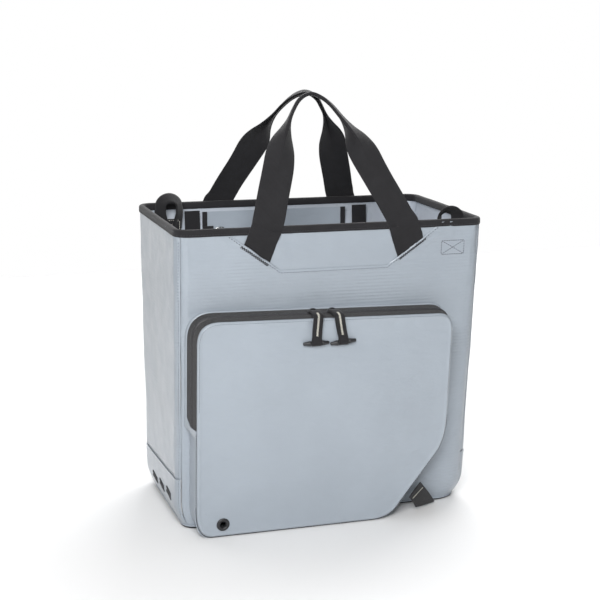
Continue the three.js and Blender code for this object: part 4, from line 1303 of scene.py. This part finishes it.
def arm_knots(arm, side):
    """Place and folding angles along one arm of the front handle, from its foot upwards."""
    feet = [(side * (LEG_X + LEG_LEAN * (HEIGHT - z)), float(front_y(z, foot_lift(z))), z, 0, 180)
            for z in (FOOT_LOW, 360.0, 370.0, 378.0, FOOT_HIGH)]
    arm_line = [(side * x, HANDLE_FOOT_Y + HANDLE_LEAN * rise, HEIGHT + rise, a, b) for rise, x, a, b in arm]
    return feet + arm_line


def folded_section(theta_outer, theta_inner):
    """The webbing's section, bent at its middle, as pairs away from the handle's middle and into the bag."""
    half = WEBBING / 2
    s = np.array(runs((-half, -FOLD_REACH, 9), (-FOLD_REACH, FOLD_REACH, 11), (FOLD_REACH, half, 9)))
    share = np.clip((s + FOLD_REACH) / (2 * FOLD_REACH), 0, 1)
    heading = np.radians(mix(theta_outer + 180, theta_inner, share))
    middle = (heading[1:] + heading[:-1]) / 2
    steps = np.diff(s)[:, None] * np.stack([np.cos(middle), np.sin(middle)], axis=1)
    place = np.vstack([[(0, 0)], np.cumsum(steps, axis=0)])
    place -= (place[0] + place[-1] + 2 * place[len(place) // 2]) / 4
    side = np.stack([-np.sin(heading), np.cos(heading)], axis=1) * WEBBING_THICK / 2
    side[[0, -1]] *= 0.55
    return np.concatenate([place + side, (place - side)[::-1]]), np.concatenate([s, s[::-1]])


def tuck_foot(ring, height, side):
    """Cuts the foot off along the yoke's slanted seam by sliding the section's points along the leg."""
    share = (height - FOOT_LOW) / (FOOT_HIGH - FOOT_LOW)
    seam = YOKE_SLOPE * YOKE_Z - YOKE_HALF
    for point in ring:
        leg_x = side * point[0] + LEG_LEAN * (point[2] - FOOT_HIGH)  # where this thread is at FOOT_HIGH
        low = (seam + leg_x + LEG_LEAN * FOOT_HIGH) / (YOKE_SLOPE + LEG_LEAN) - FOOT_TUCK
        z = mix(low, FOOT_HIGH, share)
        off = point[1] - float(front_y(height, foot_lift(height)))
        point[0] = side * (leg_x + LEG_LEAN * (FOOT_HIGH - z))
        point[1] = float(front_y(z, foot_lift(z))) + off
        point[2] = z


def add_handle(end):
    """One length of webbing sewn under the panel's hem at both ends and folded in half along the grip."""
    turn = np.array((1, 1, 1)) if end == "front" else np.array((-1, -1, 1))
    rise, x, a, b = TOP_OF_HANDLE
    top = (x, HANDLE_FOOT_Y + HANDLE_LEAN * rise, HEIGHT + rise, a, b)
    line = smooth_path(arm_knots(LEFT_ARM, -1) + [top] + arm_knots(RIGHT_ARM, 1)[::-1], 190)
    centres = line[:, :3]
    tangents = unit(np.gradient(centres, axis=0))
    lengths = path_lengths(centres)
    seed = 91.0 if end == "front" else 97.0
    sections, uv = [], []
    for i, (centre, tangent) in enumerate(zip(centres, tangents)):
        over = clamp((centre[2] - HEIGHT + 4) / 14)
        outer = unit(np.array((0, -1.0, mix(-FRONT_SLOPE, HANDLE_LEAN, ease(over)))))
        outer = unit(outer - tangent * (outer @ tangent))
        flat = np.cross(outer, tangent)
        section, across = folded_section(line[i, 3], line[i, 4])
        sway = 1.1 * soft(lengths[i], 0, seed, 55) * over
        ripple = [0.25 * soft(lengths[i], u * 2, seed + 3, 15) for u, _ in section]
        ring = np.array([centre + flat * u - outer * (v + w) + outer * sway
                         for (u, v), w in zip(section, ripple)])
        if centre[2] < FOOT_HIGH:
            tuck_foot(ring, centre[2], math.copysign(1, centre[0]))
        sections.append(ring * turn)
        uv += [(u + WEBBING / 2, lengths[i]) for u in across]
    made = loft(f"{end}_handle_webbing", sections, BLACK_WEBBING, None, uv)
    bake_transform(made)
    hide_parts(f"{end}_handle_strap", f"{end}_handle_left_anchor", f"{end}_handle_right_anchor")
    return made


# ------------------------------------------------------------------ inside the mouth
def wall_y(z, inset):
    """Distance from the middle to a line inside the long walls."""
    return mix(BASE_HALF_DEPTH, RIM_HALF_DEPTH, z / HEIGHT) - inset


def hanging_grid(x0, x1, high, low, inset, seed, wave, columns=60, rows=14):
    """Points of a cloth that hangs beside the back wall, waving more towards its lower edge."""
    grid = []
    for t in np.linspace(0, 1, rows):
        z = mix(high, low, t)
        grid.append([(x, wall_y(z, inset) - wave * t * (0.6 + soft(x, z, seed, 34)), z)
                     for x in np.linspace(x0, x1, columns)])
    return np.array(grid)


def add_closure():
    """A flap with half a zip along each long wall, and two straps beside the back one."""
    x0, x1 = CLOSURE_LEFT, CLOSURE_RIGHT
    low = CLOSURE_HINGE_Z - CLOSURE_DROP
    for end, turn in (("back", 1), ("front", -1)):
        flip = np.array((turn, turn, 1))
        grid = hanging_grid(x0, x1, CLOSURE_HINGE_Z, low, CLOSURE_INSET, 101.0, 0.5) * flip
        panel = slab(f"closure_{end}_flap", grid, 1.0, CLOSURE_FABRIC, f"closure_{end}",
                     (0, -turn, 0))
        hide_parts(f"closure_{end}_panel")
        inset = CLOSURE_INSET + 0.4
        tape_grid = hanging_grid(x0 + 1, x1 - 1, low + 2, low - 11.5, inset, 103.0, 0.2, rows=6) * flip
        tape = slab(f"closure_{end}_tape", tape_grid, 0.8, ZIP_TAPE, f"closure_{end}",
                    (0, -turn, 0))
        xs = np.arange(x0 + 3, x1 - 3, 0.5)
        sections = []
        for x in xs:
            ripple = 1.0 + 0.25 * math.cos(2 * math.pi * x / 2.0)
            z, y = low - 12.0, wall_y(low - 12.0, CLOSURE_INSET + 0.8)
            sections.append([np.array((x, y + 1.3 * ripple * math.cos(a), z + 1.5 * math.sin(a))) * flip
                             for a in np.linspace(0, 2 * math.pi, 8, endpoint=False)])
        coil = loft(f"closure_{end}_coil", sections, COIL_PLASTIC, f"closure_{end}")
        for piece in (tape, coil):
            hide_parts(f"closure_{end}_stringer")
        for side, x in (("left", x0 + 1.5), ("right", x1 - 1.5)):
            line = np.array([(x, wall_y(z, CLOSURE_INSET + 0.9), z)
                             for z in np.linspace(CLOSURE_HINGE_Z, low - 2, 16)]) * flip
            normals = np.tile(np.array((0, -1.0, 0)) * flip, (16, 1))
            trim = strip(f"closure_{end}_{side}_trim", line, normals, 7, 1.6, BINDING_TAPE, f"closure_{end}")
            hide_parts(f"closure_{end}_panel")
        tree = surface_of(panel)
        line = np.array([(x, 0, low + 3.5) for x in np.linspace(x0 + 7, x1 - 7, 70)]) * flip
        direction = np.array((0, 1.0, 0)) * flip
        places, normals = drape(line + direction * 60, direction, tree)
        thread = Thread()
        thread.seam(places, normals, 4.2, 2.6, 0.32)
        sewn = thread.finish(f"closure_{end}_stitches", LIGHT_THREAD, f"closure_{end}")
        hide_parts(f"closure_{end}_panel")
    add_closure_slider()
    for side, start in (("left", x0 - 27), ("right", x1 + 12)):
        line = np.array([(start + 11 + 0.6 * soft(z, 0, 111.0, 40), wall_y(z, CLOSURE_INSET + 0.9) - 0.4
                          - 0.8 * soft(z, start, 113.0, 30), z) for z in np.linspace(378, 289, 40)])
        normals = np.tile((0, -1.0, 0), (40, 1))
        name = f"closure_{side}_strap"
        made = strip(f"{name}_webbing", line, normals, 21.5, 1.5, BLACK_WEBBING, "bag")
        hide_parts(name)


def add_closure_slider():
    """The metal slider, its pull and the tab over the zip's end."""
    x, z = CLOSURE_LEFT + 22, CLOSURE_HINGE_Z - CLOSURE_DROP + 4
    y = wall_y(z, CLOSURE_INSET + 1.9)
    origin = np.array((x, y, z))
    plates = [(-6, 2.6, -1.5, -0.5, 0.3), (-4.5, 4.0, -1.7, -0.4, 0.4), (0, 4.9, -1.7, -0.3, 0.4),
              (5, 4.7, -1.7, -0.3, 0.4), (6, 4.2, -1.6, -0.5, 0.3)]
    sections = rounded_box_sections(plates)[:, :, (0, 2, 1)]
    body = loft("closure_slider_plate", sections + origin, NICKEL, "closure_runner")
    arch = [(-3.5, -1.3, 0), (-3.2, -2.6, 0), (0, -3.3, 0), (3.2, -2.6, 0), (3.5, -1.3, 0)]
    arch = smooth_path(arch, 18) + origin
    bridge = tube("closure_slider_bridge", arch, 0.7, NICKEL, "closure_runner")
    for piece in (body, bridge):
        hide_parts("closure_slider")
    turns = np.linspace(0, 2 * math.pi, 24, False)
    loop = origin + [(2.6 * math.cos(a), -3.9, 2.6 * math.sin(a) - 1.5) for a in turns]
    ring = tube("closure_pull_ring", loop, 0.6, NICKEL, "closure_pull", closed=True)
    blade = [(0, 0.7, -0.5, 0.5, 0.3), (3, 3.4, -0.7, 0.7, 0.4), (14, 3.1, -0.7, 0.7, 0.4),
             (20, 2.4, -0.6, 0.6, 0.3), (21, 1.2, -0.4, 0.4, 0.2)]
    sections = rounded_box_sections(blade)
    turned = np.stack([sections[:, :, 1], sections[:, :, 2] - 3.9, -3.2 - sections[:, :, 0]], axis=2)
    tag = loft("closure_pull_tag", turned + origin, NICKEL, "closure_pull")
    for piece in (ring, tag):
        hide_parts("closure_zip_pull")
    z = CLOSURE_HINGE_Z - CLOSURE_DROP + 2
    y = wall_y(z, CLOSURE_INSET + 2.4)
    line = np.array([(CLOSURE_LEFT - 2 + t, y, z) for t in np.linspace(0, 15, 10)])
    made = strip("closure_end_tab_webbing", line, np.tile((0, -1.0, 0), (10, 1)), 17, 1.6, BLACK_WEBBING,
                 "closure_back")
    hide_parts("closure_end_tab")


def add_loop(end):
    """An arch of webbing inside the rim, its two ends brought together under a sewn patch."""
    flip = np.array((1, 1, 1)) if end == "back_left" else np.array((-1, -1, 1))
    y = wall_y(LOOP_MIDDLE_Z, CLOSURE_INSET) - LOOP_DEPTH / 2
    half = LOOP_WIDTH / 2 - 1.4
    run = [(-half + 4, 356), (-half + 2.5, 366), (-half + 0.5, 376), (-half + 0.6, 384)]
    run += [(-half * math.cos(a), LOOP_TOP - 14.6 + 13.6 * math.sin(a))
            for a in np.radians((30, 60, 90, 120, 150))]
    run += [(half - 0.6, 384), (half - 0.5, 376), (half - 2.5, 366), (half - 4, 356)]
    line = smooth_path([(a - LOOP_X, y - 3.5, z) for a, z in run], 90)
    tangents = unit(np.gradient(line, axis=0))
    level = unit(np.cross((0, 1.0, 0), tangents))
    turned = np.radians(np.interp(line[:, 2], (358, 392), (52, 34)))
    normals = level * np.cos(turned)[:, None] + np.array((0, 1.0, 0)) * np.sin(turned)[:, None]
    made = strip(f"loop_{end}_webbing", line * flip, normals * flip, 19, 1.8, BLACK_WEBBING, "bag")
    node = f"strap_loop_{end}"
    face = y - 4.4
    patch_line = np.array([(-LOOP_X - 15 + t, face + 0.5 * soft(t, 0, 121.0, 9), 360.5)
                           for t in np.linspace(0, 30, 20)])
    patch = strip(f"loop_{end}_patch", patch_line * flip, np.tile((0, -1.0, 0), (20, 1)) * flip, 18, 1.6,
                  BLACK_WEBBING, "bag")
    for piece in (made, patch):
        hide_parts(node)
    tree = surface_of(patch)
    direction = np.array((0, 1.0, 0)) * flip
    thread = Thread()
    x0, x1, z0, z1 = -LOOP_X - 13, -LOOP_X + 13, 353.5, 367.5
    corners = [(x0, z0), (x1, z0), (x1, z1), (x0, z1), (x0, z0), (x1, z1), (x1, z0), (x0, z1)]
    for (ax, az), (bx, bz) in zip(corners, corners[1:]):
        path = np.linspace((ax, y - 30, az), (bx, y - 30, bz), 14) * flip
        places, facing = drape(path, direction, tree)
        thread.seam(places, facing, 2.9, 2.0, 0.34)
    sewn = thread.finish(f"loop_{end}_stitches", LIGHT_THREAD, "bag")
    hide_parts(node)


# ------------------------------------------------------------------ stitching on the body
def sew(name, tree, lines, material, node, pitch=4.0, length=2.5, radius=0.34, bars=()):
    """Running stitches along lines, and zigzag bars, dropped onto a surface."""
    thread = Thread()
    for points, direction in lines:
        places, normals = drape(points, direction, tree)
        thread.seam(places, normals, pitch, length, radius)
    for points, direction, width, step in bars:
        places, normals = drape(points, direction, tree)
        thread.zigzag(places, normals, width, step, radius)
    made = thread.finish(name, material, "bag")
    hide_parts(node)
    return made


def front_line(corners, step=2.0, y=-200.0):
    """Points in front of the body along straight runs between corners given in x and z."""
    path = resample(np.array(corners, float), step)
    return np.stack([path[:, 0], np.full(len(path), y), path[:, 1]], axis=1)


def add_body_stitches():
    """Topstitching round both yokes, bar tacks at the handles' feet, and the box and cross at the right."""
    tree = surface_of(front_panel, front_yoke, back_panel, back_yoke)
    away = 3.2
    half, top = YOKE_HALF + away * 0.4, PANEL_TOP - 7
    reach = (top - YOKE_Z) * YOKE_SLOPE
    right_side = [(half, YOKE_Z - away), (half + away, YOKE_Z), (half + away + reach, top)]
    seam = [(-x, z) for x, z in reversed(right_side)] + right_side
    for end, node, sign in (("front", "shell_front", 1), ("back", "shell_back", -1)):
        flip = np.array((sign, sign, 1))
        bars = []
        for side in (-1, 1):
            foot = LEG_X + LEG_LEAN * (HEIGHT - 352)
            low, high = ((x, YOKE_Z + (x - YOKE_HALF) / YOKE_SLOPE) for x in (foot - 19, foot + 17))
            shift = np.array((3.2, -2.3))
            a, b = np.array(low) + shift, np.array(high) + shift
            line = front_line([(side * a[0], a[1]), (side * b[0], b[1])])
            bars.append((line * flip, (0, float(sign), 0), 4.2, 1.5))
        sew(f"body_{end}_yoke_stitches", tree, [(front_line(seam) * flip, (0, float(sign), 0))], GREY_THREAD,
            node, 3.8, 2.3, 0.42)
        sew(f"body_{end}_bar_tacks", tree, [], DARK_THREAD, node, radius=0.6, bars=bars)
    box = [(145.5, 343), (177, 343), (177, 361), (145.5, 361), (145.5, 343), (177, 361)]
    sew("body_front_box_stitches", tree, [(front_line(box), (0, 1.0, 0)),
                                          (front_line([(177, 343), (145.5, 361)]), (0, 1.0, 0))],
        GREY_THREAD, "shell_front", 3.2, 2.1, 0.45)


def add_side_stitches():
    """Topstitching beside the sides' seams, and the bar tacks low on the left."""
    tree = surface_of(left_panel, left_wrap, right_panel, right_wrap, front_panel, back_panel)
    for part in ("left", "right"):
        node = f"shell_{part}"
        seams = []
        for share in (0.16, 2.84):
            points = []
            for z in np.arange(16, PANEL_TOP - 8, 4):
                place, direction = outline_point(part, share, z, 20)
                points.append(place)
            seams.append((np.array(points), -direction))
        points = []
        for share in np.linspace(1, 2, 60):
            z = wrap_top(outline_point(part, share, 60)[0][1]) + 4.0
            place, direction = outline_point(part, share, z, 20)
            points.append(place)
        seams.append((np.array(points), -direction))
        sew(f"body_{part}_stitches", tree, seams, GREY_THREAD, node, 3.8, 2.5, 0.3)
    bars = []
    for *upper, lower_y, lower_z in LEFT_BAR_TACKS:
        line = np.linspace((-260.0, *upper), (-260.0, lower_y, lower_z), 14)
        bars += [(line + (0, 0, shift), (1.0, 0, 0), 4.4, 1.3) for shift in (-2.4, 2.4)]
    sew("body_left_bar_tacks", tree, [], DARK_THREAD, "shell_left_wrap", radius=0.9, bars=bars)


def add_pocket_stitches():
    """The seam round the pocket's front, kept to the fixed lower part, and the row beside the zip."""
    tree = surface_of(pocket_front)
    path = resample(foot_line(), 2.0)
    outward = outwards(path)
    thread = Thread()
    normals = np.stack([outward[:, 0], np.zeros(len(path)), outward[:, 1]], axis=1)
    places = on_front(path + outward * 0.45, POCKET_DEPTH - FRONT_ROLL + 0.5)
    thread.seam(places, normals, 3.4, 1.9, 0.36)
    low = path[:, 1] < 45  # the stitches run together round the foot into a solid dark line, painted shadow in the seam there
    thread.seam(places[low], normals[low], 2.0, 2.0, 0.4)
    sewn = thread.finish("pocket_seam_stitches_and_painted_shadow", DARK_THREAD, "bag")
    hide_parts("pocket_gusset")
    path = resample(zip_line(), 2.0)
    outward = outwards(path)
    chosen = path[:, 1] > POCKET_SPLIT_Z + 26
    line = (path - outward * 2.6)[chosen]
    points = np.stack([line[:, 0], np.full(len(line), -220.0), line[:, 1]], axis=1)
    places, normals = drape(points, (0, 1.0, 0), tree)
    thread = Thread()
    thread.seam(places, normals, 3.4, 2.0, 0.28)
    sewn = thread.finish("pocket_flap_stitches", GREY_THREAD, "pocket_flap")
    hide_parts("pocket_flap_panel")


def add_binding_stitches():
    """One row round the rim, low on the binding's outer face."""
    tree = surface_of(binding)
    thread = Thread()
    for part in PART_START:
        points, directions = [], []
        for share in runs((0, 1, 10), (1, 2, 80), (2, 3, 10)):
            place, direction = outline_point(part, share, HEIGHT - BINDING_HEIGHT + 2.4, 15)
            points.append(place)
            directions.append(-direction)
        places, normals = drape_each(np.array(points), np.array(directions), tree)
        thread.seam(places, normals, 3.6, 2.3, 0.28)
    sewn = thread.finish("rim_binding_stitches", DARK_THREAD, "bag")
    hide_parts("rim_binding_front")


# ------------------------------------------------------------------ camera, light and floor
def add_camera():
    """The view is from above the front left, with a long lens."""
    data = bpy.data.cameras.new("camera")
    data.lens = 84.5
    data.sensor_width = 36
    data.clip_start, data.clip_end = 0.05, 20
    camera = bpy.data.objects.new("camera", data)
    yaw, pitch, roll = math.radians(18.206), math.radians(12.353), math.radians(0.625)
    forward = Vector((math.sin(yaw) * math.cos(pitch), math.cos(yaw) * math.cos(pitch), -math.sin(pitch)))
    level = Vector((math.cos(yaw), -math.sin(yaw), 0))
    upright = level.cross(forward)
    right = level * math.cos(roll) + upright * math.sin(roll)
    up = upright * math.cos(roll) - level * math.sin(roll)
    place = Vector(put_in_frame((-585.4, -1756.7, 672.4)))
    rotation = Matrix((right, up, -forward)).transposed().to_4x4()
    camera.matrix_world = Matrix.Translation(place) @ rotation
    bpy.context.scene.collection.objects.link(camera)
    bpy.context.scene.camera = camera


def add_light(name, place, target, size, power, colour=(1, 1, 1)):
    data = bpy.data.lights.new(name, "AREA")
    data.shape = "RECTANGLE"
    data.size, data.size_y = size
    data.energy = power
    data.color = colour
    light = bpy.data.objects.new(name, data)
    light.location = place
    light.rotation_euler = (Vector(target) - Vector(place)).to_track_quat("-Z", "Y").to_euler()
    bpy.context.scene.collection.objects.link(light)


FRONT_LIGHT, SIDE_LIGHT, TOP_LIGHT = 0.05, 0.0, 0.06  # the world's brightness, against 1 behind the bag
FLOOR_HALF = 1.6  # metres


def add_studio():
    """A white surround behind the bag, three soft lights and a pale floor."""
    world = bpy.data.worlds.new("studio")
    world.use_nodes = True
    nodes, links = world.node_tree.nodes, world.node_tree.links
    split = nodes.new("ShaderNodeSeparateXYZ")
    links.new(nodes.new("ShaderNodeTexCoord").outputs["Generated"], split.inputs["Vector"])
    behind = nodes.new("ShaderNodeMapRange")  # white behind the bag, dimmer in front of it
    behind.interpolation_type = "SMOOTHSTEP"
    for name, value in (("From Min", 0.2), ("From Max", 0.6), ("To Min", FRONT_LIGHT), ("To Max", 1.0)):
        behind.inputs[name].default_value = value
    links.new(split.outputs["Y"], behind.inputs["Value"])
    sideways = nodes.new("ShaderNodeMath")
    sideways.operation = "ABSOLUTE"
    links.new(split.outputs["X"], sideways.inputs[0])
    beside = nodes.new("ShaderNodeMapRange")  # and dimmer on both sides
    for name, value in (("From Min", 0.55), ("From Max", 1.0), ("To Min", 1.0), ("To Max", SIDE_LIGHT)):
        beside.inputs[name].default_value = value
    links.new(sideways.outputs["Value"], beside.inputs["Value"])
    overhead = nodes.new("ShaderNodeMapRange")  # and a broad soft light overhead
    overhead.interpolation_type = "SMOOTHSTEP"
    for name, value in (("From Min", 0.15), ("From Max", 0.95), ("To Min", 0.0), ("To Max", TOP_LIGHT)):
        overhead.inputs[name].default_value = value
    links.new(split.outputs["Z"], overhead.inputs["Value"])
    strength = nodes.new("ShaderNodeMath")
    strength.operation = "MULTIPLY_ADD"
    links.new(behind.outputs["Result"], strength.inputs[0])
    links.new(beside.outputs["Result"], strength.inputs[1])
    links.new(overhead.outputs["Result"], strength.inputs[2])
    links.new(strength.outputs["Value"], nodes["Background"].inputs["Strength"])
    nodes["Background"].inputs["Color"].default_value = (1.0, 1.0, 1.0, 1)
    bpy.context.scene.world = world
    middle = (0, 0, 0.25)
    add_light("key", (-0.7, -1.65, 1.25), middle, (1.0, 1.0), 44)
    add_light("back", (1.1, 1.5, 1.8), (1.0, 1.2, 0), (1.8, 1.5), 55)
    add_light("top", (0, 0.1, 2.4), middle, (2.0, 2.0), 15)
    mesh = bpy.data.meshes.new("floor")
    corners = [(-FLOOR_HALF, -FLOOR_HALF, 0), (FLOOR_HALF, -FLOOR_HALF, 0), (FLOOR_HALF, FLOOR_HALF, 0),
               (-FLOOR_HALF, FLOOR_HALF, 0)]
    mesh.from_pydata(corners, [], [(0, 1, 2, 3)])
    floor = bpy.data.objects.new("floor", mesh)
    n = Nodes("pale_floor", 0.9)
    n.colour((0.8, 0.8, 0.8))
    mesh.materials.append(n.material)
    floor.location.z = -0.0005
    bpy.context.scene.collection.objects.link(floor)
    bpy.context.scene.view_settings.view_transform = "Standard"


def dress_cad_nodes():
    """The CAD nodes that stay hidden inside the walls get their own materials."""
    for name, material in (("foam_base", FOAM), ("stiffener_board", BOARD)):
        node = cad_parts[name]
        node.data.materials.clear()
        node.data.materials.append(material)


add_camera()
add_studio()
dress_cad_nodes()
front_panel, front_yoke = add_front_or_back("front")
back_panel, back_yoke = add_front_or_back("back")
left_panel, left_wrap = add_side("left")
right_panel, right_wrap = add_side("right")
base = add_base()
add_foam()
add_lining()
binding = add_binding()
pocket_front = add_pocket_front()
add_gusset()
add_zip()
add_eyelet()
add_pull("left", -34.5, -36.5, 0)
add_pull("right", -9, -1, 0.09)
add_corner_tab()
add_handle("front")
add_handle("rear")
add_closure()
add_loop("back_left")
add_loop("front_right")
add_body_stitches()
add_side_stitches()
add_pocket_stitches()
add_binding_stitches()
